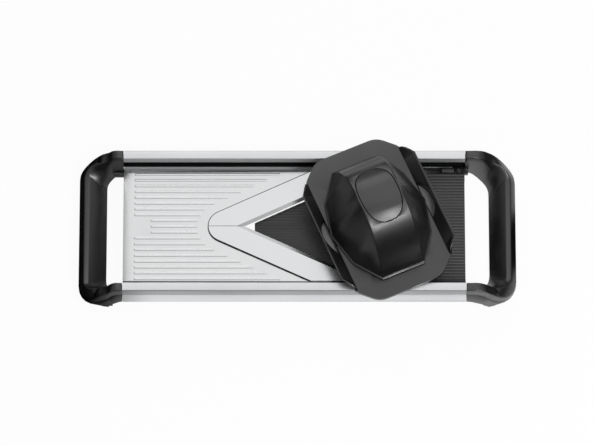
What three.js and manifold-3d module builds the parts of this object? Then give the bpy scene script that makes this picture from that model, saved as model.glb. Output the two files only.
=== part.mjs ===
// Adjustable V-blade slicer: two rails, loop handles, ribbed plate, V blade, feed ramp and hand guard.
// Millimetres, +X towards the ramp's handle, +Y to the rear rail, +Z up, origin below the centre.
import * as THREE from "three";
import { mergeVertices } from "three/addons/utils/BufferGeometryUtils.js";
import Module from "manifold-3d";

const wasm = await Module();
wasm.setup();

// Driving dimensions
const totalLength = 380;
const bodyWidth = 133;
const railTopZ = 37.2;
const railBottomZ = 12.9;
const rightReach = 44;
const leftReach = 38.7;
const deckZ = 23.2;
const deckInset = 15;
const clearance = 0.3;
const overrun = 1;
const roundSides = 12;

// Rails
const headWidth = 7.9;
const outerLean = 0.6;
const grooveZ = 28.4;
const grooveHeight = 0.8;
const grooveDepth = 0.8;
const railEdgeChamfer = 0.6;
const headHeight = 7.6;
const undercut = 3.2;
const ledgeZ = 19.5;
const ledgeDepth = 1.4;
const shelfThickness = 1.8;
const shelfUnderDeck = 5.5;
const chamberWall = 1.6;

// Loop handles
const cornerDepth = 20.5;
const rightCornerRadius = 20.5;
const leftCornerRadius = 17;
const armInnerInset = 11;
const rightBarInset = 23.5;
const leftBarInset = 24.3;
const windowCornerShare = 0.85;
const hemEndGap = 5;
const rightFootShare = 0.15;
const leftFootShare = 0.29;
const footLift = 1.2;
const armStationShares = [1, 0.8, 0.6, 0.37, 0.17, 0];
const arcSteps = 6;
const trackSteps = 2;
const crestHeightShares = [1, 1.005, 1.01, 0.988, 0.944, 0.855, 0.761, 0.586, 0.42, 0.306, 0.269, 0.261, 0.255];
const crestInsetShares = [0.076, 0.076, 0.07, 0.05, 0.03, 0, 0, 0, 0, 0, 0, 0, 0];
const grooveHeightShares = [0.752, 0.75, 0.735, 0.69, 0.62, 0.53, 0.43, 0.32, 0.23, 0.175, 0.16, 0.155, 0.153];
const grooveDepthShares = [1, 1, 1, 0.95, 0.9, 0.8, 0.7, 0.5, 0.25, 0.1, 0, 0, 0];
const skirtHeightShares = [0.347, 0.32, 0.265, 0.19, 0.125, 0.032, 0.081, 0.148, 0.134, 0.102, 0.113, 0.121, 0.121];
const shoulderInsetShares = [1, 1, 1.01, 1.01, 1.01, 1.01, 1.01, 0.96, 0.89, 0.79, 0.7, 0.63, 0.56];
const shoulderHeightShares = [1, 1.004, 1.005, 0.975, 0.91, 0.82, 0.71, 0.672, 0.637, 0.591, 0.538, 0.478, 0.43];
const lipInsetShares = [0.74, 0.74, 0.745, 0.77, 0.82, 0.9, 0.98, 0.98, 0.95, 0.91, 0.87, 0.82, 0.785];
const lipHeightShares = [0.775, 0.775, 0.768, 0.745, 0.71, 0.645, 0.578, 0.56, 0.538, 0.516, 0.49, 0.46, 0.436];
const hemHeightShares = [0.347, 0.325, 0.28, 0.21, 0.15, 0.1, 0.077, 0.07, 0.073, 0.078, 0.083, 0.089, 0.094];
const archShare = 0.2;
const pegLength = 12;
const pegRoot = 3;
const tongueLength = 10.3;
const tongueThickness = 3;
const tongueGap = 0.5;
const rightTongueRoot = 3;
const leftTongueRoot = 9;
const handleScrewInset = 5;
const handleScrewGap = 3.1;

// Rubber feet
const footWidth = 5;
const footDepth = 7;
const footHeight = 3.5;
const footInset = 6;
const bossMargin = 1.5;
const bossHeight = 5;

// Screws
const screwRadius = 1.25;
const screwHeadRadius = 2.1;
const screwHeadHeight = 1.5;
const handleScrewLength = 6.6;
const shelfScrewInset = 3.3;
const shelfScrewLength = 8;
const smallScrewRadius = 0.8;
const smallHeadRadius = 1.4;
const smallHeadHeight = 1;

// Outfeed plate
const sheetThickness = 0.9;
const flangeWall = 0.9;
const ribCount = 19;
const ribEdgeInset = 2.3;
const ribWidth = 1.6;
const ribHeight = 0.5;
const ribStartInset = 9.5;
const markStartInset = 23.9;
const markRibs = 3;
const ribRootShare = 0.5;
const ribTopShare = 0.5;

// V blade
const bladeSlope = 0.478;
const bladeEndInset = 84.1;
const bladeThickness = 1.2;
const bladeSetback = 50.2;
const bladeTipRadius = 14.2;
const bevelWidth = 3;
const bevelLandShare = 0.15;
const bladeTipSteps = 6;
const plateSetback = 20.9;
const ribGap = 9.3;

// Blade carrier and cross brace
const carrierBackInset = 4;
const carrierSetback = 10.2;
const carrierSeatInset = 1.5;
const braceInset = 11;
const braceWidth = 12;
const carrierScrewInset = 9;

// Feed ramp
const rampDrop = 2;
const rampThickness = 2;
const rampNoseWidth = 7.8;
const rampEndInset = 0.4;
const rampRibCount = 37;
const rampRibHeight = 0.35;
const rampRibShare = 0.45;
const rampSideGap = 0.3;
const stiffenerSideInset = 13.5;
const stiffenerWidth = 1.6;
const stiffenerDepth = 3.4;
const stiffenerStartInset = 104;
const stiffenerLength = 28;

// Thickness slider
const wedgeSlope = 0.25;
const wedgeStartInset = 116;
const wedgeBodyInset = 18;
const wedgeEndInset = 9.5;
const wedgeWidth = 3.4;
const wedgeTopZ = 22.6;
const wedgeLipZ = 20.4;
const lugLength = 5;
const lugInsets = [80, 38];
const lugSeatZ = 20.6;
const lugTopZ = 22.4;
const liftUp = 1.7;
const liftDown = 3;
const notchMargin = 1;
const gripInset = 54;
const gripWidth = 12;
const gripBottomZ = 8;
const gripSideInset = 6.1;
const gripGrooves = 5;
const gripGrooveDepth = 0.8;
const strapWidth = 10;
const strapThickness = 1.2;

// Hand guard
const guardInset = 76;
const guardYawDegrees = 23.5;
const guardOverhang = 4.2;
const guardEndHalfWidth = 28.9;
const guardFoldX = 45.3;
const guardFoldRun = 15.9;
const guardFoldRadius = 12;
const guardEndRadius = 18;
const guardCornerSteps = 4;
const guardThickness = 3.2;
const brimHeight = 8.5;
const brimOuterX = 53.2;
const brimLand = 1.6;
const brimWall = 2.2;
const brimStationShares = [1, 0.967, 0.907, 0.836, 0.766];
const brimReachShares = [0, 0.09, 0.38, 0.67, 1];
const brimRiseShares = [0.03, 0.42, 0.75, 0.98, 1];
const pocketHalfLength = 18;
const pocketInnerX = 43.9;
const pocketOuterX = 51.6;
const pocketWall = 1.6;
const pocketDepth = 5;
const pocketSteps = 10;
const foodHoleX = 33;
const foodHoleInset = 20.6;
const foodCornerX = 17.5;
const foodCornerRun = 13;

// Dome
const domeHeight = 57.2;
const domeBaseX = 43.5;
const domeEndInset = 17.1;
const domeEndX = 19.5;
const domeShoulderX = 36.5;
const domeShoulderRun = 23.6;
const domeRidgeX = 19;
const domeWall = 2.4;
const domeCollar = 4.1;
const collarInset = 0.5;
const domeEndRise = 0.6;
const domeStationShares = [0, 0.15, 0.3, 0.46, 0.56, 0.66, 0.746, 0.82, 0.886, 0.945, 1];
const domeRiseShares = [1, 0.992, 0.957, 0.886, 0.81, 0.7, 0.567, 0.42, 0.266, 0.13, 0];
const bridgeZ = 67.2;
const bridgeThickness = 2.5;
const bridgeWidth = 16;
const guardScrewX = 22;
const guardScrewInset = 16.6;
const guardBossRadius = 3.5;
const guardBossHeight = 14;
const guardScrewRadius = 1.5;
const guardHeadRadius = 3;
const guardScrewDepth = 10;

// Plunger
const buttonRadiusX = 17;
const buttonRadiusY = 25;
const buttonFullness = 2.5;
const buttonGap = 0.35;
const buttonDrop = 0.3;
const buttonFall = 6.6;
const buttonSkirtDepth = 13;
const buttonWall = 2.4;
const ovalSides = 32;
const stemRadius = 4;
const clipThickness = 0.9;
const clipRadius = 6.5;
const clipGrooveDepth = 0.6;
const spikePlateX = 16;
const spikePlateInset = 23.6;
const spikePlateThickness = 2.2;
const spikePlateRise = 7.5;
const spikeLength = 7.8;
const spikeRadius = 1.2;
const spikeTipShare = 0.15;
const spikeSides = 6;
const spikeColumns = 3;
const spikeRows = 4;
const spikeMargin = 4;
const springRadius = 7.2;
const springWire = 1.2;
const springTurns = 6;
const springStepsPerTurn = 8;
const springSides = 5;

// Sizes that follow from the driving ones
const halfLength = totalLength / 2;
const halfWidth = bodyWidth / 2;
const railEndX = halfLength - rightReach;
const railStartX = leftReach - halfLength;
const deckHalfWidth = halfWidth - deckInset;
const shelfInnerY = deckHalfWidth - shelfUnderDeck;
const shelfScrewY = deckHalfWidth - shelfScrewInset;
const tongueInnerY = deckHalfWidth + tongueGap;
const handleScrewY = deckHalfWidth + handleScrewGap;
const shelfTopZ = railBottomZ + shelfThickness;
const seatZ = shelfTopZ + clearance;
const headInnerY = halfWidth - outerLean - headWidth;
const channelWallY = headInnerY + undercut;
const ledgeY = channelWallY - ledgeDepth;
const sheetBottomZ = deckZ - sheetThickness;
const bladeBottomZ = deckZ + clearance;
const bladeTopZ = bladeBottomZ + bladeThickness;
const bladeAngle = Math.atan(bladeSlope);
const bladeApexX = railEndX - bladeEndInset - deckHalfWidth / bladeSlope;
const bladeBackX = bladeApexX - bladeSetback;
const carrierFrontX = bladeApexX - carrierSetback;
const ribPitch = (2 * (deckHalfWidth - ribEdgeInset)) / (ribCount - 1);
const tipCentreX = bladeBackX + bladeTipRadius / Math.sin(bladeAngle);
const rampTopZ = bladeBottomZ - rampDrop;
const rampBottomZ = rampTopZ - rampThickness;
const rampHalfWidth = deckHalfWidth - rampSideGap;
const rampEndX = railEndX - rampEndInset;
const stiffenerStartX = railEndX - stiffenerStartInset;
const stiffenerY = deckHalfWidth - stiffenerSideInset;
const wedgeStartX = railEndX - wedgeStartInset;
const wedgeBodyEndX = railEndX - wedgeBodyInset;
const wedgeEndX = railEndX - wedgeEndInset;
const lugStartXs = lugInsets.map((inset) => railEndX - inset);
const gripX = railEndX - gripInset;
const gripHalfLength = deckHalfWidth - gripSideInset;
const wedgeInnerY = deckHalfWidth + clearance;
const wedgeOuterY = wedgeInnerY + wedgeWidth;
const strapTopZ = seatZ + strapThickness;
const wedgeCentreY = (wedgeInnerY + wedgeOuterY) / 2;
const guardX = railEndX - guardInset;
const guardEndY = halfWidth + guardOverhang;
const guardFoldY = guardEndY - guardFoldRun;
const domeEndY = guardEndY - domeEndInset;
const domeShoulderY = domeEndY - domeShoulderRun;
const guardScrewY = domeEndY - guardScrewInset;
const foodHoleY = domeEndY - foodHoleInset;
const foodCornerY = foodHoleY - foodCornerRun;
const spikePlateY = domeEndY - spikePlateInset;
const guardBottomZ = railTopZ + clearance;
const guardTopZ = guardBottomZ + guardThickness;
const brimTopZ = guardTopZ + brimHeight;
const pocketFloorZ = guardTopZ - pocketDepth;
const domeBottomZ = guardTopZ + clearance;
const domeBaseZ = domeBottomZ + domeCollar;
const domeTopZ = domeBaseZ + domeHeight - domeCollar;
const buttonTopZ = domeTopZ - buttonDrop;
const buttonBottomZ = buttonTopZ - buttonSkirtDepth;
const ceilingZ = buttonTopZ - buttonFall - buttonWall;
const stemTopZ = ceilingZ - clearance;
const spikePlateBottomZ = guardBottomZ + spikePlateRise;
const stemBottomZ = spikePlateBottomZ + clearance;
const frameInnerY = deckHalfWidth - flangeWall - clearance;

// Mesh helpers
function toSolid(geometry) {
  geometry.deleteAttribute("normal");
  geometry.deleteAttribute("uv");
  const merged = mergeVertices(geometry);
  const vertProperties = new Float32Array(merged.attributes.position.array);
  const triVerts = new Uint32Array(merged.index.array);
  return new wasm.Manifold(new wasm.Mesh({ numProp: 3, vertProperties, triVerts }));
}

function toGeometry(solid) {
  const mesh = solid.getMesh();
  const geometry = new THREE.BufferGeometry();
  geometry.setAttribute("position", new THREE.BufferAttribute(mesh.vertProperties, 3));
  geometry.setIndex(new THREE.BufferAttribute(mesh.triVerts, 1));
  geometry.computeVertexNormals();
  return geometry;
}

function joined(solids) {
  return solids.reduce((sum, solid) => sum.add(solid));
}

function cutBy(solid, tools) {
  return tools.reduce((rest, tool) => rest.subtract(tool), solid);
}

function extruded(points, depth, basis, origin) {
  const shape = new THREE.Shape(points.map(([u, v]) => new THREE.Vector2(u, v)));
  const geometry = new THREE.ExtrudeGeometry(shape, { depth, bevelEnabled: false });
  geometry.applyMatrix4(new THREE.Matrix4().makeBasis(...basis).setPosition(origin));
  return toSolid(geometry);
}

const axisX = new THREE.Vector3(1, 0, 0);
const axisY = new THREE.Vector3(0, 1, 0);
const axisZ = new THREE.Vector3(0, 0, 1);

// An outline of (x, y) points raised from one height to another
function raised(points, bottom, top) {
  return extruded(points, top - bottom, [axisX, axisY, axisZ], new THREE.Vector3(0, 0, bottom));
}

// A profile of (y, z) points run along X
function runAlongX(points, start, end) {
  return extruded(points, end - start, [axisY, axisZ, axisX], new THREE.Vector3(start, 0, 0));
}

// A profile of (x, z) points run along Y
function runAlongY(points, start, end) {
  const turned = points.map(([x, z]) => [z, x]);
  return extruded(turned, end - start, [axisZ, axisX, axisY], new THREE.Vector3(0, start, 0));
}

function block(x0, x1, y0, y1, z0, z1) {
  return raised([[x0, y0], [x1, y0], [x1, y1], [x0, y1]], z0, z1);
}

function ovalPoints(radiusX, radiusY, sides) {
  const points = [];
  for (let i = 0; i < sides; i++) {
    const angle = (2 * Math.PI * i) / sides;
    points.push([radiusX * Math.cos(angle), radiusY * Math.sin(angle)]);
  }
  return points;
}

function rod(radius, x, y, bottom, top, sides = roundSides) {
  const points = ovalPoints(radius, radius, sides).map(([u, v]) => [u + x, v + y]);
  return raised(points, bottom, top);
}

// Closed skin over rings with the same number of points
function loft(rings) {
  const positions = [];
  const faces = [];
  const count = rings[0].length;
  rings.forEach((ring) => ring.forEach((point) => positions.push(point.x, point.y, point.z)));
  for (let i = 0; i < rings.length - 1; i++) {
    for (let j = 0; j < count; j++) {
      const k = (j + 1) % count;
      const a = i * count + j;
      const b = i * count + k;
      faces.push([a, b, b + count], [a, b + count, a + count]);
    }
  }
  const last = (rings.length - 1) * count;
  capFaces(rings[0]).forEach(([a, b, c]) => faces.push([a, c, b]));
  capFaces(rings[rings.length - 1]).forEach(([a, b, c]) => faces.push([last + a, last + b, last + c]));
  const geometry = new THREE.BufferGeometry();
  geometry.setAttribute("position", new THREE.Float32BufferAttribute(positions, 3));
  const inward = signedVolume(positions, faces) < 0;
  geometry.setIndex(faces.flatMap(([a, b, c]) => (inward ? [a, c, b] : [a, b, c])));
  return toSolid(geometry);
}

function signedVolume(positions, faces) {
  const at = (i) => new THREE.Vector3().fromArray(positions, 3 * i);
  return faces.reduce((sum, [a, b, c]) => sum + at(a).dot(at(b).cross(at(c))), 0);
}

// Triangles of a ring's cap, turning the same way as the ring
function capFaces(ring) {
  const normal = new THREE.Vector3();
  ring.forEach((point, i) => normal.add(point.clone().cross(ring[(i + 1) % ring.length])));
  const across = ring[1].clone().sub(ring[0]).normalize();
  const up = normal.clone().normalize().cross(across);
  const flat = ring.map((point) => new THREE.Vector2(point.dot(across), point.dot(up)));
  return THREE.ShapeUtils.triangulateShape(flat, []);
}

// A tube along a curve, with closed ends
function tube(curve, radius, sides, steps) {
  const section = new THREE.Shape(ovalPoints(radius, radius, sides).map(([u, v]) => new THREE.Vector2(u, v)));
  const geometry = new THREE.ExtrudeGeometry(section, { steps, extrudePath: curve, curveSegments: 1 });
  return toSolid(geometry);
}

// An outline with a round at each corner
function roundedOutline(corners, radii, steps) {
  return corners.flatMap(([x, y], i) => {
    const here = new THREE.Vector2(x, y);
    const before = new THREE.Vector2(...corners[(i + corners.length - 1) % corners.length]).sub(here);
    const after = new THREE.Vector2(...corners[(i + 1) % corners.length]).sub(here);
    const half = before.clone().normalize().angleTo(after.clone().normalize()) / 2;
    const reach = Math.min(radii[i] / Math.tan(half), before.length() / 3, after.length() / 3);
    const start = here.clone().add(before.setLength(reach));
    const end = here.clone().add(after.setLength(reach));
    const curve = new THREE.QuadraticBezierCurve(start, here, end);
    return curve.getPoints(steps).map((point) => [point.x, point.y]);
  });
}

function mirroredY(solid) {
  return solid.mirror([0, 1, 0]);
}

function mirroredX(solid) {
  return solid.mirror([1, 0, 0]);
}

function bothSides(solid) {
  return solid.add(mirroredY(solid));
}

// Materials
const aluminium = { color: 0xcfd2d4, roughness: 0.32, metalness: 0.9 };
const steel = { color: 0xd9dcde, roughness: 0.25, metalness: 1 };
const blackPlastic = { color: 0x17181a, roughness: 0.45, metalness: 0 };
const rampPlastic = { color: 0x242628, roughness: 0.4, metalness: 0 };
const greyPlastic = { color: 0x6f7275, roughness: 0.5, metalness: 0 };
const rubber = { color: 0x101010, roughness: 0.85, metalness: 0 };

function piece(name, solid, look) {
  const mesh = new THREE.Mesh(toGeometry(solid), new THREE.MeshStandardMaterial(look));
  mesh.name = name;
  return mesh;
}

// Copies of one solid, each a mesh of its own, standing at its place
function copies(name, solid, look, places, first = 1) {
  return places.map(([x, y], i) => {
    const mesh = piece(`${name}_${i + first}`, solid, look);
    mesh.position.set(x, y, 0);
    return mesh;
  });
}

function onBothSides(xs, y) {
  return xs.flatMap((x) => [[x, y], [x, -y]]);
}

// Places shared by pieces that screw together
const leftScrewX = railStartX + handleScrewInset;
const rightScrewX = railEndX - handleScrewInset;
const braceX = railStartX + braceInset + braceWidth / 2;
const footY = halfWidth - footInset;
const carrierReach = shelfScrewY / bladeSlope;
const carrierScrewXs = [
  bladeBackX + carrierBackInset + carrierReach + carrierScrewInset,
  carrierFrontX + carrierReach - carrierScrewInset,
];
const underTongueZ = railBottomZ - clearance - tongueThickness;
const rightEnd = {
  reach: rightReach,
  radius: rightCornerRadius,
  barInset: rightBarInset,
  footShare: rightFootShare,
  tongueZ: seatZ,
  tongueRoot: rightTongueRoot,
};
const leftEnd = {
  reach: leftReach,
  radius: leftCornerRadius,
  barInset: leftBarInset,
  footShare: leftFootShare,
  tongueZ: underTongueZ,
  tongueRoot: leftTongueRoot,
};

// Rear rail: a head with a groove outside, a channel inside and a shelf at the foot
function railSolid() {
  const outerTopY = halfWidth - outerLean;
  const profile = [
    [halfWidth, railBottomZ],
    [outerTopY, grooveZ - grooveHeight],
    [outerTopY - grooveDepth, grooveZ - grooveHeight],
    [outerTopY - grooveDepth, grooveZ],
    [outerTopY, grooveZ],
    [outerTopY, railTopZ - railEdgeChamfer],
    [outerTopY - railEdgeChamfer, railTopZ],
    [headInnerY + railEdgeChamfer, railTopZ],
    [headInnerY, railTopZ - railEdgeChamfer],
    [headInnerY, railTopZ - headHeight],
    [channelWallY, railTopZ - headHeight],
    [channelWallY, ledgeZ],
    [ledgeY, ledgeZ],
    [ledgeY, shelfTopZ],
    [shelfInnerY, shelfTopZ],
    [shelfInnerY, railBottomZ],
  ];
  const bar = runAlongX(profile, railStartX, railEndX);
  const chamber = runAlongX(chamberProfile(0), railStartX - overrun, railEndX + overrun);
  const holes = [leftScrewX, rightScrewX].map((x) => shelfHole(x, handleScrewY));
  const shelfHoles = [braceX, ...carrierScrewXs].map((x) => shelfHole(x, shelfScrewY));
  return cutBy(bar, [chamber, ...holes, ...shelfHoles]);
}

function chamberProfile(inset) {
  const inner = headInnerY + chamberWall + inset;
  const outer = halfWidth - outerLean - grooveDepth - chamberWall - inset;
  const low = railTopZ - headHeight + chamberWall + inset;
  const high = railTopZ - chamberWall - inset;
  return [[inner, low], [outer, low], [outer, high], [inner, high]];
}

function shelfHole(x, y) {
  return rod(screwRadius + clearance, x, y, railBottomZ - overrun, shelfTopZ + overrun);
}

// Loop handle: tracks of section points from the rail's end to the bar, mirrored to the other arm
function handleStations({ reach, radius, footShare }) {
  const armLength = reach - cornerDepth - clearance;
  const cornerX = halfLength - cornerDepth;
  const xs = armStationShares.map((share) => cornerX - (footShare + (1 - footShare) * share) * armLength);
  for (let i = 0; i <= arcSteps; i++) {
    xs.push(cornerX + cornerDepth * Math.sin((i * Math.PI) / 2 / arcSteps));
  }
  return xs.map((x) => {
    const turn = Math.min(1, Math.max(0, (x - halfLength + radius) / radius));
    return { x, angle: Math.asin(turn), radius };
  });
}

function outlinePoint({ x, angle, radius }, inset, z) {
  const y = halfWidth - radius * (1 - Math.cos(angle)) - inset * Math.cos(angle);
  return new THREE.Vector3(x - inset * Math.sin(angle), y, z);
}

// Inner edge in plan: along the arm, round the window's corner and on to the bar
function hemLine(stations, { reach, barInset }) {
  const innerX = halfLength - barInset;
  const innerY = halfWidth - armInnerInset;
  const radius = windowCornerShare * (reach - barInset);
  const first = stations.filter(({ x }) => x <= innerX - radius).length;
  const last = stations.length - 1;
  return stations.map(({ x }, i) => {
    if (i < first) {
      return [x, innerY];
    }
    if (i === last) {
      return [innerX, innerY - radius - hemEndGap];
    }
    const angle = ((i - first) / (last - 1 - first)) * (Math.PI / 2);
    return [innerX - radius * (1 - Math.sin(angle)), innerY - radius * (1 - Math.cos(angle))];
  });
}

function handleTracks(end) {
  const stations = handleStations(end);
  const inner = hemLine(stations, end);
  const track = (make, smooth) => ({ points: stations.map(make), smooth });
  const height = (shares) => (i) => shares[i] * railTopZ;
  const crest = height(crestHeightShares);
  const groove = height(grooveHeightShares);
  const skirt = height(skirtHeightShares);
  const lip = height(lipHeightShares);
  const hem = height(hemHeightShares);
  const shoulder = height(shoulderHeightShares);
  const hemPoint = (s, i) => new THREE.Vector3(...inner[i], hem(i));
  const middle = (s, i) => {
    const arch = new THREE.Vector3(0, 0, archShare * hem(i));
    return outlinePoint(s, 0, skirt(i)).lerp(hemPoint(s, i), 1 / 2).add(arch);
  };
  return [
    track((s, i) => outlinePoint(s, 0, skirt(i)), false),
    track((s, i) => outlinePoint(s, crestInsetShares[i] * headWidth, groove(i) - grooveHeight), true),
    track((s, i) => outlinePoint(s, grooveDepthShares[i] * grooveDepth, groove(i) - grooveHeight / 2), true),
    track((s, i) => outlinePoint(s, crestInsetShares[i] * headWidth, groove(i)), true),
    track((s, i) => outlinePoint(s, crestInsetShares[i] * headWidth, crest(i)), true),
    track((s, i) => outlinePoint(s, shoulderInsetShares[i] * headWidth, shoulder(i)), true),
    track((s, i) => outlinePoint(s, lipInsetShares[i] * armInnerInset, lip(i)), true),
    track(hemPoint, true),
    track(middle, false),
  ];
}

function sampledTrack({ points, smooth }) {
  if (smooth) {
    return new THREE.CatmullRomCurve3(points, false, "centripetal").getPoints((points.length - 1) * trackSteps);
  }
  const sampled = [points[0]];
  for (let i = 1; i < points.length; i++) {
    for (let k = 1; k <= trackSteps; k++) {
      sampled.push(points[i - 1].clone().lerp(points[i], k / trackSteps));
    }
  }
  return sampled;
}

function handleSolid(handle) {
  const tracks = handleTracks(handle).map(sampledTrack);
  const rings = tracks[0].map((point, i) => tracks.map((track) => track[i]));
  const flip = (ring) => ring.map((point) => new THREE.Vector3(point.x, -point.y, point.z));
  const loop = loft([...rings, ...rings.slice().reverse().map(flip)]);
  const end = halfLength - handle.reach;
  const foot = footX(handle);
  const boss = footBlock(foot, footY, bossMargin, footLift, bossHeight);
  const socket = footBlock(foot, footY, clearance, -overrun, footHeight + clearance);
  const peg = runAlongX(chamberProfile(clearance), end - pegLength, end + pegRoot);
  const tongueX = [end - tongueLength, end + handle.tongueRoot];
  const tongueZ = [handle.tongueZ, handle.tongueZ + tongueThickness];
  const tongue = block(...tongueX, tongueInnerY, ledgeY - clearance, ...tongueZ);
  const hole = rod(screwRadius + clearance, end - handleScrewInset, handleScrewY, 0, tongueZ[1] + overrun);
  const extras = bothSides(joined([boss, peg, tongue]));
  return loop.add(extras).subtract(bothSides(socket)).subtract(bothSides(hole));
}

function footX({ reach, footShare }) {
  return halfLength - cornerDepth - footShare * (reach - cornerDepth - clearance);
}

function footBlock(x, y, margin, bottom, top) {
  const halfX = footWidth / 2 + margin;
  const halfY = footDepth / 2 + margin;
  return block(x - halfX, x + halfX, y - halfY, y + halfY, bottom, top);
}

function footSolid() {
  return footBlock(0, 0, 0, 0, footHeight);
}

// Screws: a head and a shank, standing on a face or hung under one
function screwDown(faceZ, length, radius, headRadius, headHeight) {
  const head = rod(headRadius, 0, 0, faceZ + clearance, faceZ + clearance + headHeight);
  return head.add(rod(radius, 0, 0, faceZ - length, faceZ + clearance + headHeight / 2));
}

function screwUp(faceZ, length, radius, headRadius, headHeight) {
  const head = rod(headRadius, 0, 0, faceZ - clearance - headHeight, faceZ - clearance);
  return head.add(rod(radius, 0, 0, faceZ - clearance - headHeight / 2, faceZ + length));
}

function rightScrewSolid() {
  const top = seatZ + tongueThickness;
  return screwDown(top, handleScrewLength, screwRadius, screwHeadRadius, screwHeadHeight);
}

function leftScrewSolid() {
  const length = shelfTopZ - clearance - underTongueZ;
  return screwUp(underTongueZ, length, screwRadius, screwHeadRadius, screwHeadHeight);
}

function shelfScrewSolid() {
  return screwUp(railBottomZ, shelfScrewLength - shelfThickness, screwRadius, screwHeadRadius, screwHeadHeight);
}

// Ribbed outfeed plate with flanges folded down to the shelves and a V cut behind the blade
function plateSolid() {
  const cutApexX = bladeApexX - plateSetback;
  const cornerX = cutApexX + deckHalfWidth / bladeSlope;
  const outline = [
    [railStartX, -deckHalfWidth],
    [cornerX, -deckHalfWidth],
    [cutApexX, 0],
    [cornerX, deckHalfWidth],
    [railStartX, deckHalfWidth],
  ];
  const sheet = raised(outline, sheetBottomZ, deckZ);
  const inner = deckHalfWidth - flangeWall;
  const wallEndX = cornerX - flangeWall / bladeSlope;
  const wall = block(railStartX, wallEndX, inner, deckHalfWidth, seatZ, deckZ - sheetThickness / 2);
  return joined([sheet, bothSides(wall), ...ribSolids()]);
}

function ribEndX(y) {
  const radius = bladeTipRadius + ribGap;
  const offsetY = Math.abs(y);
  if (offsetY < radius * Math.cos(bladeAngle)) {
    return tipCentreX - Math.sqrt(radius * radius - offsetY * offsetY);
  }
  return tipCentreX - radius / Math.sin(bladeAngle) + offsetY / bladeSlope;
}

function ribSolids() {
  const ribs = [];
  const middle = (ribCount - 1) / 2;
  for (let i = 0; i < ribCount; i++) {
    const y = (i - middle) * ribPitch;
    const marked = Math.abs(i - middle) <= (markRibs - 1) / 2;
    const start = railStartX + (marked ? markStartInset : ribStartInset);
    const end = ribEndX(y);
    const rect = (insetShare, z) => {
      const half = (ribWidth / 2) * (1 - insetShare);
      const inset = ribWidth * insetShare;
      const [from, to] = [start + inset, end - inset];
      const corners = [[from, y - half], [to, y - half], [to, y + half], [from, y + half]];
      return corners.map(([px, py]) => new THREE.Vector3(px, py, z));
    };
    const root = rect(0, deckZ - sheetThickness * ribRootShare);
    ribs.push(loft([root, rect(0, deckZ), rect(ribTopShare, deckZ + ribHeight)]));
  }
  return ribs;
}

// One half of the V blade: round nose, parallel edges, long bevel along the cutting edge
function bladeSolid() {
  const middle = clearance / 2;
  const tangentAngle = Math.PI / 2 + bladeAngle;
  const startAngle = Math.PI - Math.asin(middle / bladeTipRadius);
  const nose = [];
  for (let i = 0; i <= bladeTipSteps; i++) {
    const angle = startAngle + ((tangentAngle - startAngle) * i) / bladeTipSteps;
    nose.push([tipCentreX + bladeTipRadius * Math.cos(angle), bladeTipRadius * Math.sin(angle)]);
  }
  const backEnd = [bladeBackX + deckHalfWidth / bladeSlope, deckHalfWidth];
  const edgeLine = (shift, y) => [bladeApexX - shift + y / bladeSlope, y];
  const bevelShift = bevelWidth / Math.sin(bladeAngle);
  const ring = (shift, z) => {
    const points = [...nose, backEnd, edgeLine(shift, deckHalfWidth), edgeLine(shift, middle)];
    return points.map(([x, y]) => new THREE.Vector3(x, y, z));
  };
  const landZ = bladeBottomZ + bladeThickness * bevelLandShare;
  return loft([ring(0, bladeBottomZ), ring(0, landZ), ring(bevelShift, bladeTopZ)]);
}

// V beam under the blades, resting on both shelves
function carrierSolid() {
  const backX = bladeBackX + carrierBackInset;
  const vee = (back, front) => {
    const reach = frameInnerY / bladeSlope;
    return [
      [back, 0], [back + reach, -frameInnerY], [front + reach, -frameInnerY],
      [front, 0], [front + reach, frameInnerY], [back + reach, frameInnerY],
    ];
  };
  const seatX = bladeApexX - plateSetback + carrierSeatInset;
  const beam = raised(vee(backX, carrierFrontX), seatZ, sheetBottomZ - clearance);
  const seat = raised(vee(seatX, carrierFrontX), seatZ + clearance, bladeBottomZ - clearance);
  const holes = carrierScrewXs.map(blindHole);
  return cutBy(beam.add(seat), holes.map(bothSides));
}

function blindHole(x) {
  return rod(screwRadius + clearance, x, shelfScrewY, seatZ - overrun, railBottomZ + shelfScrewLength);
}

function braceSolid() {
  const half = braceWidth / 2;
  const bar = block(braceX - half, braceX + half, -frameInnerY, frameInnerY, seatZ, sheetBottomZ - clearance);
  return bar.subtract(bothSides(blindHole(braceX)));
}

// Feed ramp: ribbed deck cut to the blade's V, with lugs that ride on the wedge bars
function rampOutline() {
  const noseHalf = rampNoseWidth / 2;
  const edgeX = (y) => bladeApexX + clearance / bladeSlope + y / bladeSlope;
  return [
    [edgeX(noseHalf), -noseHalf],
    [edgeX(rampHalfWidth), -rampHalfWidth],
    [rampEndX, -rampHalfWidth],
    [rampEndX, rampHalfWidth],
    [edgeX(rampHalfWidth), rampHalfWidth],
    [edgeX(noseHalf), noseHalf],
  ];
}

function rampDeckProfile() {
  const pitch = (2 * rampHalfWidth) / rampRibCount;
  const low = rampTopZ - rampRibHeight;
  const points = [[-rampHalfWidth, rampBottomZ], [rampHalfWidth, rampBottomZ]];
  for (let i = rampRibCount - 1; i >= 0; i--) {
    const y = -rampHalfWidth + i * pitch;
    const land = (pitch * rampRibShare) / 2;
    points.push([y + pitch, low], [y + pitch / 2 + land, rampTopZ], [y + pitch / 2 - land, rampTopZ]);
  }
  points.push([-rampHalfWidth, low]);
  return points;
}

function wedgeHeight(x, lugStart) {
  return lugSeatZ - (x - lugStart) * wedgeSlope;
}

function lugSolid(start) {
  const end = start + lugLength;
  const profile = [
    [start, wedgeHeight(start, start) + clearance],
    [end, wedgeHeight(end, start) + clearance],
    [end, lugTopZ],
    [start, lugTopZ],
  ];
  return runAlongY(profile, rampHalfWidth - overrun, wedgeOuterY - clearance / 2);
}

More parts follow.
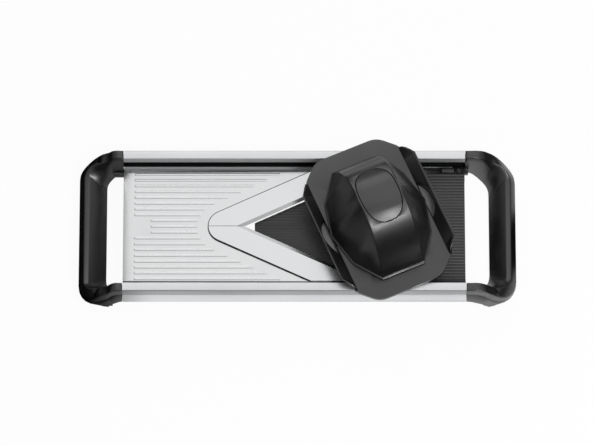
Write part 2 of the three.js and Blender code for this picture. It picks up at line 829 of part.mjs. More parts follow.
function rampSolid() {
  const deck = runAlongX(rampDeckProfile(), bladeApexX, rampEndX).intersect(raised(rampOutline(), 0, railTopZ));
  const stiffenerX = [stiffenerStartX, stiffenerStartX + stiffenerLength];
  const stiffenerSides = [stiffenerY - stiffenerWidth / 2, stiffenerY + stiffenerWidth / 2];
  const stiffenerLowZ = rampBottomZ - stiffenerDepth;
  const stiffener = block(...stiffenerX, ...stiffenerSides, stiffenerLowZ, rampBottomZ + rampThickness / 2);
  return joined([deck, ...lugStartXs.map((x) => bothSides(lugSolid(x))), bothSides(stiffener)]);
}

// Wedge bar: slides on the shelf and lifts the ramp's lugs by its slopes
function wedgeBarSolid() {
  const before = liftUp / wedgeSlope + notchMargin;
  const after = liftDown / wedgeSlope + notchMargin;
  const profile = [[wedgeStartX, seatZ], [wedgeStartX, wedgeTopZ]];
  lugStartXs.forEach((start) => {
    const high = start - before;
    const low = start + lugLength + after;
    profile.push([high - (wedgeTopZ - wedgeHeight(high, start)) / wedgeSlope, wedgeTopZ]);
    profile.push([low, wedgeHeight(low, start)], [low, wedgeTopZ]);
  });
  profile.push([wedgeEndX, wedgeTopZ], [wedgeEndX, wedgeLipZ], [wedgeBodyEndX, wedgeLipZ], [wedgeBodyEndX, seatZ]);
  const bar = runAlongY(profile, wedgeInnerY, wedgeOuterY);
  const half = strapWidth / 2 + clearance;
  const notchSides = [wedgeInnerY - overrun, wedgeOuterY + overrun];
  const notch = block(gripX - half, gripX + half, ...notchSides, 0, strapTopZ + clearance);
  const hole = rod(smallScrewRadius + clearance, gripX, wedgeCentreY, seatZ, wedgeTopZ + overrun);
  return cutBy(bar, [notch, hole]);
}

// Grip: finger bar under the ramp, with straps over the shelves to the wedge bars
function gripSolid() {
  const half = gripWidth / 2;
  const pitch = gripWidth / (gripGrooves + 1);
  const bar = block(gripX - half, gripX + half, -gripHalfLength, gripHalfLength, gripBottomZ, strapTopZ);
  const strapHalf = strapWidth / 2;
  const strapSides = [gripHalfLength - overrun, wedgeOuterY];
  const strap = block(gripX - strapHalf, gripX + strapHalf, ...strapSides, seatZ, strapTopZ);
  const hole = rod(smallScrewRadius + clearance, gripX, wedgeCentreY, seatZ - overrun, strapTopZ + overrun);
  const grooves = [];
  for (let i = 1; i <= gripGrooves; i++) {
    const x = gripX - half + i * pitch;
    const sides = [-gripHalfLength - overrun, gripHalfLength + overrun];
    grooves.push(block(x - pitch / 4, x + pitch / 4, ...sides, 0, gripBottomZ + gripGrooveDepth));
  }
  return cutBy(bar.add(bothSides(strap)), [...grooves, bothSides(hole)]);
}

function sliderScrewSolid() {
  return screwDown(wedgeTopZ, wedgeTopZ - seatZ, smallScrewRadius, smallHeadRadius, smallHeadHeight);
}

// Guard flange: rounded octagon, raised brims along the long sides and lens-shaped finger pockets
function guardOutline() {
  const corners = [
    [guardFoldX, -guardFoldY], [guardFoldX, guardFoldY],
    [guardEndHalfWidth, guardEndY], [-guardEndHalfWidth, guardEndY],
    [-guardFoldX, guardFoldY], [-guardFoldX, -guardFoldY],
    [-guardEndHalfWidth, -guardEndY], [guardEndHalfWidth, -guardEndY],
  ];
  const radii = corners.map(([x]) => (Math.abs(x) === guardFoldX ? guardFoldRadius : guardEndRadius));
  return roundedOutline(corners, radii, guardCornerSteps);
}

function brimSection(y, reachShare, riseShare) {
  const foot = guardFoldX;
  const outer = foot + (brimOuterX - foot) * reachShare;
  const top = guardTopZ + brimHeight * riseShare;
  const inner = Math.max(outer - brimLand, foot - brimLand);
  const sole = Math.max(foot, outer - (brimOuterX - foot) + brimWall);
  const points = [
    [foot - brimWall, guardBottomZ],
    [sole, guardBottomZ],
    [Math.max(outer, sole), top - brimLand * riseShare],
    [Math.max(outer, sole), top],
    [inner, top],
    [foot - brimWall, guardTopZ],
  ];
  return points.map(([x, z]) => new THREE.Vector3(x, y, z));
}

function brimSolid() {
  const ends = brimStationShares.map((share, i) => {
    return brimSection(share * guardFoldY, brimReachShares[i], brimRiseShares[i]);
  });
  const flip = (ring) => ring.map((point) => new THREE.Vector3(point.x, -point.y, point.z));
  return loft([...ends, ...ends.slice().reverse().map(flip)]);
}

function lensPoints(wall) {
  const sagitta = pocketOuterX - pocketInnerX;
  const arcRadius = (pocketHalfLength ** 2 + sagitta ** 2) / (2 * sagitta);
  const centreX = pocketOuterX - arcRadius;
  const radius = arcRadius + wall;
  const chordX = pocketInnerX - wall;
  const limit = Math.acos((chordX - centreX) / radius);
  const points = [];
  for (let i = 0; i <= pocketSteps; i++) {
    const angle = -limit + (2 * limit * i) / pocketSteps;
    points.push([centreX + radius * Math.cos(angle), radius * Math.sin(angle)]);
  }
  return points;
}

function pocketShellSolid() {
  const low = pocketFloorZ - pocketWall;
  const span = pocketHalfLength + guardFoldX;
  const innerTop = brimOuterX - brimLand;
  const profile = [
    [0, low],
    [brimOuterX, low],
    [brimOuterX, brimTopZ],
    [innerTop, brimTopZ],
    [guardFoldX, guardTopZ],
    [0, guardTopZ],
  ];
  return raised(lensPoints(pocketWall), low, brimTopZ).intersect(runAlongY(profile, -span, span));
}

function guardFlangeSolid() {
  const plate = raised(guardOutline(), guardBottomZ, guardTopZ);
  const side = brimSolid().add(pocketShellSolid());
  const pocket = raised(lensPoints(0), pocketFloorZ, brimTopZ + overrun);
  const body = joined([plate, side, mirroredX(side)]);
  const foodOutline = [
    [foodHoleX, -foodCornerY], [foodHoleX, foodCornerY],
    [foodCornerX, foodHoleY], [-foodCornerX, foodHoleY],
    [-foodHoleX, foodCornerY], [-foodHoleX, -foodCornerY],
    [-foodCornerX, -foodHoleY], [foodCornerX, -foodHoleY],
  ];
  const [below, above] = [guardBottomZ - overrun, guardTopZ + overrun];
  const foodHole = raised(foodOutline, below, above);
  const screwHole = rod(guardScrewRadius + clearance, guardScrewX, guardScrewY, below, above);
  return cutBy(body, [pocket, mirroredX(pocket), foodHole, fourCorners(screwHole)]);
}

function fourCorners(solid) {
  return bothSides(solid.add(mirroredX(solid)));
}

// Dome: lofted along the guard's length, base on a long decagon, two straight ridges to the ends
function domeBaseHalfWidth(y) {
  const offset = Math.abs(y);
  if (offset <= domeShoulderY) {
    return domeBaseX + ((domeShoulderX - domeBaseX) * offset) / domeShoulderY;
  }
  return domeShoulderX + ((domeEndX - domeShoulderX) * (offset - domeShoulderY)) / (domeEndY - domeShoulderY);
}

function domeSections(wall) {
  const rise = domeTopZ - domeBaseZ;
  const half = domeStationShares.map((share, i) => {
    const base = domeBaseHalfWidth(share * domeEndY) - wall;
    const ridge = Math.min(domeRidgeX - wall / 2, base - collarInset);
    const top = Math.max(domeBaseZ + rise * domeRiseShares[i] - wall, domeBaseZ + domeEndRise);
    return { y: share * (domeEndY - wall), base, ridge, top };
  });
  const low = wall > 0 ? domeBottomZ - overrun : domeBaseZ - domeCollar / 2;
  const ring = ({ y, base, ridge, top }, side) => {
    const points = [[base, low], [base, domeBaseZ], [ridge, top], [-ridge, top], [-base, domeBaseZ], [-base, low]];
    return points.map(([x, z]) => new THREE.Vector3(x, side * y, z));
  };
  const rear = half.slice(1).map((section) => ring(section, 1));
  const front = half.slice().reverse().map((section) => ring(section, -1));
  return [...front, ...rear];
}

function collarOutline() {
  const corners = [
    [domeBaseX, 0], [domeShoulderX, domeShoulderY], [domeEndX, domeEndY],
    [-domeEndX, domeEndY], [-domeShoulderX, domeShoulderY],
    [-domeBaseX, 0], [-domeShoulderX, -domeShoulderY], [-domeEndX, -domeEndY],
    [domeEndX, -domeEndY], [domeShoulderX, -domeShoulderY],
  ];
  return corners.map(([x, y]) => [x - Math.sign(x) * collarInset, y - Math.sign(y) * collarInset]);
}

function domeSolid() {
  const outer = loft(domeSections(0));
  const collar = raised(collarOutline(), domeBottomZ, domeBaseZ);
  const outside = outer.add(collar);
  const inside = loft(domeSections(domeWall));
  const bridgeTopZ = bridgeZ + bridgeThickness;
  const bridge = block(-domeBaseX, domeBaseX, -bridgeWidth / 2, bridgeWidth / 2, bridgeZ, bridgeTopZ);
  const boss = rod(guardBossRadius, guardScrewX, guardScrewY, domeBottomZ, domeBottomZ + guardBossHeight);
  const inner = bridge.add(fourCorners(boss)).intersect(outside);
  const oval = raised(buttonOutline(-buttonGap), bridgeTopZ, domeTopZ + overrun);
  const stemHole = rod(stemRadius + clearance, 0, 0, bridgeZ - overrun, bridgeTopZ + overrun);
  const screwTopZ = domeBottomZ + guardScrewDepth + clearance;
  const screwHole = rod(guardScrewRadius + clearance, guardScrewX, guardScrewY, domeBottomZ - overrun, screwTopZ);
  return cutBy(outside.subtract(inside).add(inner), [oval, stemHole, fourCorners(screwHole)]);
}

function guardScrewSolid() {
  const length = domeBottomZ + guardScrewDepth - guardBottomZ;
  return screwUp(guardBottomZ, length, guardScrewRadius, guardHeadRadius, screwHeadHeight);
}

// Button: cap with full oval sides that goes on with the dome's crown, hollow below
function buttonOutline(inset) {
  const full = (value) => Math.sign(value) * Math.abs(value) ** (2 / buttonFullness);
  const [halfX, halfY] = [buttonRadiusX - inset, buttonRadiusY - inset];
  return ovalPoints(1, 1, ovalSides).map(([u, v]) => [halfX * full(u), halfY * full(v)]);
}

function buttonSolid() {
  const crown = domeStationShares.map((share, i) => {
    return [share * domeEndY, buttonTopZ - (domeTopZ - domeBaseZ) * (1 - domeRiseShares[i])];
  });
  const over = crown.filter(([y, z]) => z > buttonBottomZ);
  const side = over[over.length - 1][0];
  const roof = [[-side, buttonBottomZ], [side, buttonBottomZ], ...over.slice().reverse()];
  over.slice(1).forEach(([y, z]) => roof.push([-y, z]));
  const cap = raised(buttonOutline(0), buttonBottomZ, domeTopZ);
  const crowned = cap.intersect(runAlongX(roof, -buttonRadiusX - overrun, buttonRadiusX + overrun));
  return crowned.subtract(raised(buttonOutline(buttonWall), buttonBottomZ - overrun, ceilingZ));
}

function stemSolid() {
  const shaft = rod(stemRadius, 0, 0, stemBottomZ, stemTopZ);
  const low = bridgeZ - clearance - clipThickness - clearance;
  const core = rod(stemRadius - clipGrooveDepth, 0, 0, low - overrun, bridgeZ + overrun);
  return shaft.subtract(rod(stemRadius + overrun, 0, 0, low, bridgeZ).subtract(core));
}

function clipSolid() {
  const low = bridgeZ - clearance - clipThickness;
  const high = low + clipThickness;
  const bore = rod(stemRadius - clipGrooveDepth + clearance, 0, 0, low - overrun, high + overrun);
  return rod(clipRadius, 0, 0, low, high).subtract(bore);
}

function spikePlateSolid() {
  const corners = [
    [spikePlateX, -spikePlateY], [spikePlateX, spikePlateY],
    [-spikePlateX, spikePlateY], [-spikePlateX, -spikePlateY],
  ];
  const top = spikePlateBottomZ + spikePlateThickness;
  const outline = roundedOutline(corners, corners.map(() => spikeMargin), guardCornerSteps);
  const bore = rod(stemRadius + clearance, 0, 0, spikePlateBottomZ - overrun, top + overrun);
  return joined([raised(outline, spikePlateBottomZ, top), ...spikeSolids()]).subtract(bore);
}

function spikeSolids() {
  const spikes = [];
  const root = spikePlateBottomZ + spikePlateThickness / 2;
  const length = spikeLength + spikePlateThickness / 2;
  const spanX = spikePlateX - spikeMargin;
  const spanY = spikePlateY - spikeMargin;
  for (let i = 0; i < spikeColumns; i++) {
    for (let j = 0; j < spikeRows; j++) {
      const geometry = new THREE.CylinderGeometry(spikeRadius, spikeRadius * spikeTipShare, length, spikeSides);
      geometry.rotateX(Math.PI / 2);
      const x = spanX * ((2 * i) / (spikeColumns - 1) - 1);
      const y = spanY * ((2 * j) / (spikeRows - 1) - 1);
      geometry.translate(x, y, root - length / 2);
      spikes.push(toSolid(geometry));
    }
  }
  return spikes;
}

// Return spring between the dome's bridge and the button
class Helix extends THREE.Curve {
  constructor(radius, bottom, top, turns) {
    super();
    Object.assign(this, { radius, bottom, top, turns });
  }

  getPoint(t, target = new THREE.Vector3()) {
    const angle = 2 * Math.PI * this.turns * t;
    const z = this.bottom + (this.top - this.bottom) * t;
    return target.set(this.radius * Math.cos(angle), this.radius * Math.sin(angle), z);
  }
}

function springCurve() {
  const bottom = bridgeZ + bridgeThickness + clearance + springWire / 2;
  const top = ceilingZ - clearance - springWire / 2;
  return new Helix(springRadius, bottom, top, springTurns);
}

function springSolid() {
  return tube(springCurve(), springWire / 2, springSides, springTurns * springStepsPerTurn);
}

// Least free gap between neighbouring turns, measured on points of the coil
function springGap() {
  const curve = springCurve();
  const steps = springTurns * springStepsPerTurn;
  let least = Infinity;
  for (let i = 0; i + springStepsPerTurn <= steps; i++) {
    const here = curve.getPoint(i / steps);
    const next = curve.getPoint((i + springStepsPerTurn) / steps);
    least = Math.min(least, here.distanceTo(next) - springWire);
  }
  return least;
}

function frameGroup() {
  const group = new THREE.Group();
  const rear = railSolid();
  const right = handleSolid(rightEnd);
  const left = mirroredX(handleSolid(leftEnd));
  group.add(
    piece("rear_rail", rear, aluminium),
    piece("front_rail", mirroredY(rear), aluminium),
    piece("right_handle", right, blackPlastic),
    piece("left_handle", left, blackPlastic),
    ...copies("handle_screw", leftScrewSolid(), steel, onBothSides([leftScrewX], handleScrewY)),
    ...copies("handle_screw", rightScrewSolid(), steel, onBothSides([rightScrewX], handleScrewY), 3),
    ...copies("rubber_foot", footSolid(), rubber, onBothSides([-footX(leftEnd), footX(rightEnd)], footY)),
    piece("outfeed_plate", plateSolid(), steel),
    piece("rear_blade", bladeSolid(), steel),
    piece("front_blade", mirroredY(bladeSolid()), steel),
    piece("blade_carrier", carrierSolid(), blackPlastic),
    ...copies("carrier_screw", shelfScrewSolid(), steel, onBothSides(carrierScrewXs, shelfScrewY)),
    piece("cross_brace", braceSolid(), blackPlastic),
    ...copies("brace_screw", shelfScrewSolid(), steel, onBothSides([braceX], shelfScrewY)),
  );
  return group;
}

function thicknessGroup() {
  const group = new THREE.Group();
  const bar = wedgeBarSolid();
  group.add(
    piece("feed_ramp", rampSolid(), rampPlastic),
    piece("rear_wedge_bar", bar, greyPlastic),
    piece("front_wedge_bar", mirroredY(bar), greyPlastic),
    piece("slider_grip", gripSolid(), blackPlastic),
    ...copies("slider_screw", sliderScrewSolid(), steel, onBothSides([gripX], wedgeCentreY)),
  );
  return group;
}

function guardGroup() {
  const group = new THREE.Group();
  group.add(
    piece("guard_flange", guardFlangeSolid(), blackPlastic),
    piece("guard_dome", domeSolid(), blackPlastic),
    ...copies("guard_screw", guardScrewSolid(), steel, onBothSides([-guardScrewX, guardScrewX], guardScrewY)),
    piece("guard_button", buttonSolid(), blackPlastic),
    piece("plunger_stem", stemSolid(), greyPlastic),
    piece("retaining_clip", clipSolid(), steel),
    piece("spike_plate", spikePlateSolid(), greyPlastic),
    piece("return_spring", springSolid(), steel),
  );
  group.position.x = guardX;
  group.rotation.z = THREE.MathUtils.degToRad(guardYawDegrees);
  return group;
}

const slicer = new THREE.Group();
slicer.add(frameGroup(), thicknessGroup(), guardGroup());
console.log(`return spring: least gap between turns ${springGap().toFixed(2)} mm`);

export default slicer;
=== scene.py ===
"""Dresses an adjustable V-blade slicer: rails, loop handles, ribbed plate, blade, ramp and hand guard."""
import math

import bmesh
import bpy
from mathutils import Matrix, Vector


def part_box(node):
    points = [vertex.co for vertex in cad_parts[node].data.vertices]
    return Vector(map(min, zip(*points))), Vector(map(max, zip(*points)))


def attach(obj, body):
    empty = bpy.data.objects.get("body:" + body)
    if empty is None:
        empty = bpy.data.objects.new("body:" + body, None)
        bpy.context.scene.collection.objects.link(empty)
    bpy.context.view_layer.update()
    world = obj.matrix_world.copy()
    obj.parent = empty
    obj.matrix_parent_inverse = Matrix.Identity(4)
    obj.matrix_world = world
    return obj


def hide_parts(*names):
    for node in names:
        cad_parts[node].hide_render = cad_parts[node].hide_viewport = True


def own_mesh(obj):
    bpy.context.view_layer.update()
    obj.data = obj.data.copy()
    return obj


bl_info = {
    "name": "V-Blade Slicer",
    "version": (1, 0, 0),
    "blender": (4, 5, 0),
    "location": "3D View > Sidebar > Slicer",
    "description": "Builds the visible surfaces of an adjustable V-blade slicer round its solid model",
    "category": "Object",
}

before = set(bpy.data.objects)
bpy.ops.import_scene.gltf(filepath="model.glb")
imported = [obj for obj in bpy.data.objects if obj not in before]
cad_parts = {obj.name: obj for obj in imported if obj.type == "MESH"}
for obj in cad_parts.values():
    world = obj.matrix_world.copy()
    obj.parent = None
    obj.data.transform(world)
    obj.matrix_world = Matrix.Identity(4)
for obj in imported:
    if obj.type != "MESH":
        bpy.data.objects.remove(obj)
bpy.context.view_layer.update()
MM = 0.001
TINY = 0.02 * MM
WELD = 0.002 * MM
CUT = TINY / 10

# Sides of the slicer, as signs of Y
REAR = 1.0
FRONT = -1.0

# Places on the rails of the solid model
CLEARANCE = 0.3 * MM
BAND_LOW = 28.0 * MM
BAND_LEAN = 0.8 * MM
CHANNEL_TOP = 36.5 * MM
CHANNEL_INNER = 57.0 * MM
CHANNEL_OUTER = 60.6 * MM

# Ribs of the plate and the ramp; the deck between the plate's ribs is its only large face
RIB_COUNT = 19
RIB_EDGE_INSET = 2.3 * MM
RIB_WIDTH = 1.6 * MM
RIB_REACH = 0.6 * RIB_WIDTH
RIB_HEIGHT = 0.5 * MM
RIB_PITCH = 2 * (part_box("outfeed_plate")[1].y - RIB_EDGE_INSET) / (RIB_COUNT - 1)
DECK_AREA = 300.0 * MM * MM
RAMP_TOP = 21.5 * MM
RAMP_RIB = 0.5 * MM

# The guard's turn on the rails, and places measured from its own middle
GUARD_YAW = math.radians(23.5)
GUARD_TOP = (0.07, 0.0, 0.08)
POCKET_FLOOR = 35.7 * MM
POCKET_INNER = 43.9 * MM
BRIM_TOP = 49.2 * MM
BRIM_CREST = 52.4 * MM
BRIM_END_CREST = 49.8 * MM
BRIM_END_DROP = 0.5 * MM
BRIM_STRAIGHT = 42.5 * MM

# The spring; each run has its turns and its share of the climb
SPRING_WIRE = 1.2 * MM
SPRING_SIDES = 10
SPRING_STEPS = 28
SPRING_TURNS = [(1.0, 0.09), (4.0, 0.82), (1.0, 0.09)]

# Sizes of the finer shapes
BEAD_CREST_SHARE = 1.25
RAMP_GROOVE = 0.07 * MM
BRIM_TILT = 1.3 * MM
PAD_HEIGHT = 0.9 * MM
FOOT_HEIGHT = 2.4 * MM
FOOT_REACH = 1.1 * MM
FOOT_SLOPE = 0.7
SOCKET_SHARE = 0.5
# Black strips along the blades' backs: painted shadow of the gap at the plate
SHADOW_STRIP_WIDTH = 0.55 * MM
SHADOW_STRIP_DROP = 0.08 * MM
# Black strips in the rails' channels: painted shade, dark where the aluminium recess lies in shadow
CHANNEL_SHADE_PAST_END = 0.25 * MM
CHANNEL_SHADE_PROFILE = [(y * MM, z * MM) for y, z in (
    (61.15, 19.55), (61.15, 29.3), (60.7, 29.3), (60.7, 20.1),
    (59.55, 20.1), (59.55, 16.3), (59.75, 16.3), (59.75, 19.55))]
STRIP_END_GAP = 0.5 * MM
STRIP_PROFILE = [(y * MM, z * MM) for y, z in (
    (51.9, 14.72), (59.45, 14.72), (59.45, 14.88), (51.9, 14.88))]

# Brushed lines: how often they change along each axis
ALONG_RAILS = (9.0, 2600.0, 2600.0)
ALONG_PLATE = (10.0, 2200.0, 2200.0)
ACROSS_BLADE = (2200.0, 14.0, 2200.0)
ALL_ROUND = (900.0, 900.0, 900.0)

# The steel of the hidden screws, the clip and the spring
BRIGHT_STEEL = (0.72, 0.73, 0.74)

# Rubbed edges and uneven gloss
GLOSS_SPREAD = 0.05
METAL_RUB = 0.4
METAL_RUB_SHADE = 1.15
PLASTIC_RUB = 0.25
PLASTIC_RUB_SHADE = 2.2
PLASTIC_RUB_LIFT = 0.01
CORNER_START = 0.52
CORNER_FULL = 0.62
NOISE_LOW = 0.3
NOISE_HIGH = 0.7

# How a face lies, from a part of its normal
LEVEL = 0.99
SIDEWAYS = 0.9
LEANING = 0.3
NEARLY_UPRIGHT = 0.2
UPRIGHT = 0.1

# Joining and rounding; an edge is rounded where its faces have this much room
ONE_FLAT = math.radians(0.8)
ONE_QUAD = math.radians(14)
ANY_SHAPE = math.radians(180)
BEVEL_ROOM = 2.2

# The floor: white for the camera, and for glossy rays dark but for glowing pools, painted reflections
# that the slicer mirrors
FLOOR_HALF = 3.0
FLOOR_DROP = 0.1 * MM
POOL_MIDDLE = 42 * MM
POOL_LENGTH = 160 * MM
POOL_START = 36 * MM
POOL_EDGE = 14 * MM
POOL_WIDTH = 92 * MM
POOL_FADE = 70 * MM
FAR_START = 230 * MM
FAR_END = 900 * MM
WHITE_SHARE = 0.94

# The room that glossy faces mirror, dark at the horizon and pale above it
HORIZON_DARK = math.radians(10)
HORIZON_PALE = math.radians(30)
HORIZON_LEVEL = 0.05


# Sizes and colours that a user would change

class MetalSettings(bpy.types.PropertyGroup):
    """Colours and finish of the metal pieces."""

    rail_color: bpy.props.FloatVectorProperty(
        name="Rail Color", description="Clear anodised aluminium of the rails",
        default=(0.68, 0.69, 0.70), subtype="COLOR", min=0, max=1)
    # The band's darker colour is painted shade, standing for less light off its face; its higher
    # roughness is a matt finish
    band_shade_color: bpy.props.FloatVectorProperty(
        name="Band Shade Color", description="Matt band above the groove on the rails' outer sides",
        default=(0.44, 0.45, 0.46), subtype="COLOR", min=0, max=1)
    channel_color: bpy.props.FloatVectorProperty(
        name="Channel Color", description="Matt anodised faces of the channel and shelf inside the rails",
        default=(0.50, 0.51, 0.52), subtype="COLOR", min=0, max=1)
    plate_color: bpy.props.FloatVectorProperty(
        name="Plate Color", description="Stainless steel of the outfeed plate",
        default=(0.70, 0.71, 0.715), subtype="COLOR", min=0, max=1)
    blade_color: bpy.props.FloatVectorProperty(
        name="Blade Color", description="Ground steel of the V blade",
        default=(0.70, 0.71, 0.72), subtype="COLOR", min=0, max=1)
    screw_color: bpy.props.FloatVectorProperty(
        name="Screw Color", description="Blackened steel of the handle screws",
        default=(0.10, 0.10, 0.105), subtype="COLOR", min=0, max=1)
    rail_roughness: bpy.props.FloatProperty(
        name="Rail Roughness", description="Roughness of the extruded rails",
        default=0.36, min=0, max=1, subtype="FACTOR")
    edge_round: bpy.props.FloatProperty(
        name="Edge Rounding", description="Radius of the rails' long edges",
        default=0.35 * MM, min=0, subtype="DISTANCE", unit="LENGTH")
    bead_width: bpy.props.FloatProperty(
        name="Bead Width", description="Width of the pressed beads on the outfeed plate",
        default=2.5 * MM, min=0, subtype="DISTANCE", unit="LENGTH")
    bead_height: bpy.props.FloatProperty(
        name="Bead Height", description="Height of the pressed beads on the outfeed plate",
        default=0.3 * MM, min=0, subtype="DISTANCE", unit="LENGTH")


class PlasticSettings(bpy.types.PropertyGroup):
    """Colours and finish of the moulded pieces."""

    handle_color: bpy.props.FloatVectorProperty(
        name="Handle Color", description="Moulded plastic of the loop handles",
        default=(0.0025, 0.0025, 0.0026), subtype="COLOR", min=0, max=1)
    guard_color: bpy.props.FloatVectorProperty(
        name="Guard Color", description="Moulded plastic of the hand guard",
        default=(0.0055, 0.0056, 0.0056), subtype="COLOR", min=0, max=1)
    ramp_color: bpy.props.FloatVectorProperty(
        name="Ramp Color", description="Moulded plastic of the feed ramp",
        default=(0.018, 0.0185, 0.0185), subtype="COLOR", min=0, max=1)
    slider_color: bpy.props.FloatVectorProperty(
        name="Slider Color", description="Moulded plastic of the wedge bars",
        default=(0.045, 0.046, 0.047), subtype="COLOR", min=0, max=1)
    # Pale grey colour of the raised pads in the finger pockets
    pad_color: bpy.props.FloatVectorProperty(
        name="Pad Color", description="Soft grey pads in the finger pockets",
        default=(0.17, 0.17, 0.168), subtype="COLOR", min=0, max=1)
    # Painted shade: near-black strips in the rails' channels and along the blades' backs stand for shadow
    painted_shade_color: bpy.props.FloatVectorProperty(
        name="Painted Shade Color", description="Soft plastic strip that lines the rails' channels",
        default=(0.003, 0.003, 0.003), subtype="COLOR", min=0, max=1)
    rubber_color: bpy.props.FloatVectorProperty(
        name="Rubber Color", description="Rubber of the feet",
        default=(0.018, 0.018, 0.018), subtype="COLOR", min=0, max=1)
    handle_round: bpy.props.FloatProperty(
        name="Handle Edge Rounding", description="Radius of the handles' moulded edges",
        default=0.7 * MM, min=0, subtype="DISTANCE", unit="LENGTH")
    dome_round: bpy.props.FloatProperty(
        name="Dome Edge Rounding", description="Radius of the dome's facet edges",
        default=0.9 * MM, min=0, subtype="DISTANCE", unit="LENGTH")


class StageSettings(bpy.types.PropertyGroup):
    """Camera, lamps and floor."""

    elevation: bpy.props.FloatProperty(
        name="Camera Elevation", description="Height of the camera above the horizon",
        default=math.radians(67), subtype="ANGLE", unit="ROTATION")
    distance: bpy.props.FloatProperty(
        name="Camera Distance", description="Distance from the camera to the slicer",
        default=5.5, subtype="DISTANCE", unit="LENGTH")
    view_width: bpy.props.FloatProperty(
        name="View Width", description="Width that the picture covers at the slicer",
        default=515.3 * MM, subtype="DISTANCE", unit="LENGTH")
    target: bpy.props.FloatVectorProperty(
        name="Camera Target", description="Point at the middle of the picture",
        default=(-0.8 * MM, 3.8 * MM, 23.2 * MM), subtype="TRANSLATION", unit="LENGTH")
    world_strength: bpy.props.FloatProperty(
        name="World Strength", description="Strength of the even light from all round",
        default=0.42, min=0)
    mirrored_strength: bpy.props.FloatProperty(
        name="Mirrored Strength", description="Strength of the pale room that glossy faces mirror",
        default=0.45, min=0)
    ceiling_power: bpy.props.FloatProperty(
        name="Ceiling Power", description="Power of the wide softbox above and behind the slicer",
        default=5.9, min=0, unit="POWER")
    key_power: bpy.props.FloatProperty(
        name="Key Power", description="Power of the smaller softbox at the front right",
        default=10.0, min=0, unit="POWER")
    rim_power: bpy.props.FloatProperty(
        name="Rim Power", description="Power of the low softbox behind the slicer",
        default=5.0, min=0, unit="POWER")


# Shared shader effects

def socket(tree, name, kind, direction, default=None):
    """Adds a named input or output to a node group."""
    made = tree.interface.new_socket(name=name, in_out=direction, socket_type=kind)
    if default is not None:
        made.default_value = default


def grain_group():
    """Moulded grain: a fine height for bump and a slow value that varies the gloss."""
    tree = bpy.data.node_groups.new("Moulded Grain", "ShaderNodeTree")
    socket(tree, "Vector", "NodeSocketVector", "INPUT")
    socket(tree, "Grain Scale", "NodeSocketFloat", "INPUT", 2600.0)
    socket(tree, "Patch Scale", "NodeSocketFloat", "INPUT", 38.0)
    socket(tree, "Height", "NodeSocketFloat", "OUTPUT")
    socket(tree, "Patch", "NodeSocketFloat", "OUTPUT")
    start = tree.nodes.new("NodeGroupInput")
    end = tree.nodes.new("NodeGroupOutput")
    fine = tree.nodes.new("ShaderNodeTexNoise")
    fine.inputs["Detail"].default_value = 3.0
    patch = tree.nodes.new("ShaderNodeTexNoise")
    patch.inputs["Detail"].default_value = 2.0
    tree.links.new(start.outputs["Vector"], fine.inputs["Vector"])
    tree.links.new(start.outputs["Grain Scale"], fine.inputs["Scale"])
    tree.links.new(start.outputs["Vector"], patch.inputs["Vector"])
    tree.links.new(start.outputs["Patch Scale"], patch.inputs["Scale"])
    tree.links.new(fine.outputs["Fac"], end.inputs["Height"])
    tree.links.new(patch.outputs["Fac"], end.inputs["Patch"])
    return tree


def brushed_group():
    """Fine lines along one direction, for extruded and brushed metal."""
    tree = bpy.data.node_groups.new("Brushed Lines", "ShaderNodeTree")
    socket(tree, "Vector", "NodeSocketVector", "INPUT")
    socket(tree, "Stretch", "NodeSocketVector", "INPUT", (12.0, 2400.0, 2400.0))
    socket(tree, "Lines", "NodeSocketFloat", "OUTPUT")
    socket(tree, "Patch", "NodeSocketFloat", "OUTPUT")
    start = tree.nodes.new("NodeGroupInput")
    end = tree.nodes.new("NodeGroupOutput")
    stretch = tree.nodes.new("ShaderNodeVectorMath")
    stretch.operation = "MULTIPLY"
    lines = tree.nodes.new("ShaderNodeTexNoise")
    lines.inputs["Scale"].default_value = 1.0
    lines.inputs["Detail"].default_value = 4.0
    patch = tree.nodes.new("ShaderNodeTexNoise")
    patch.inputs["Scale"].default_value = 22.0
    tree.links.new(start.outputs["Vector"], stretch.inputs[0])
    tree.links.new(start.outputs["Stretch"], stretch.inputs[1])
    tree.links.new(stretch.outputs["Vector"], lines.inputs["Vector"])
    tree.links.new(start.outputs["Vector"], patch.inputs["Vector"])
    tree.links.new(lines.outputs["Fac"], end.inputs["Lines"])
    tree.links.new(patch.outputs["Fac"], end.inputs["Patch"])
    return tree


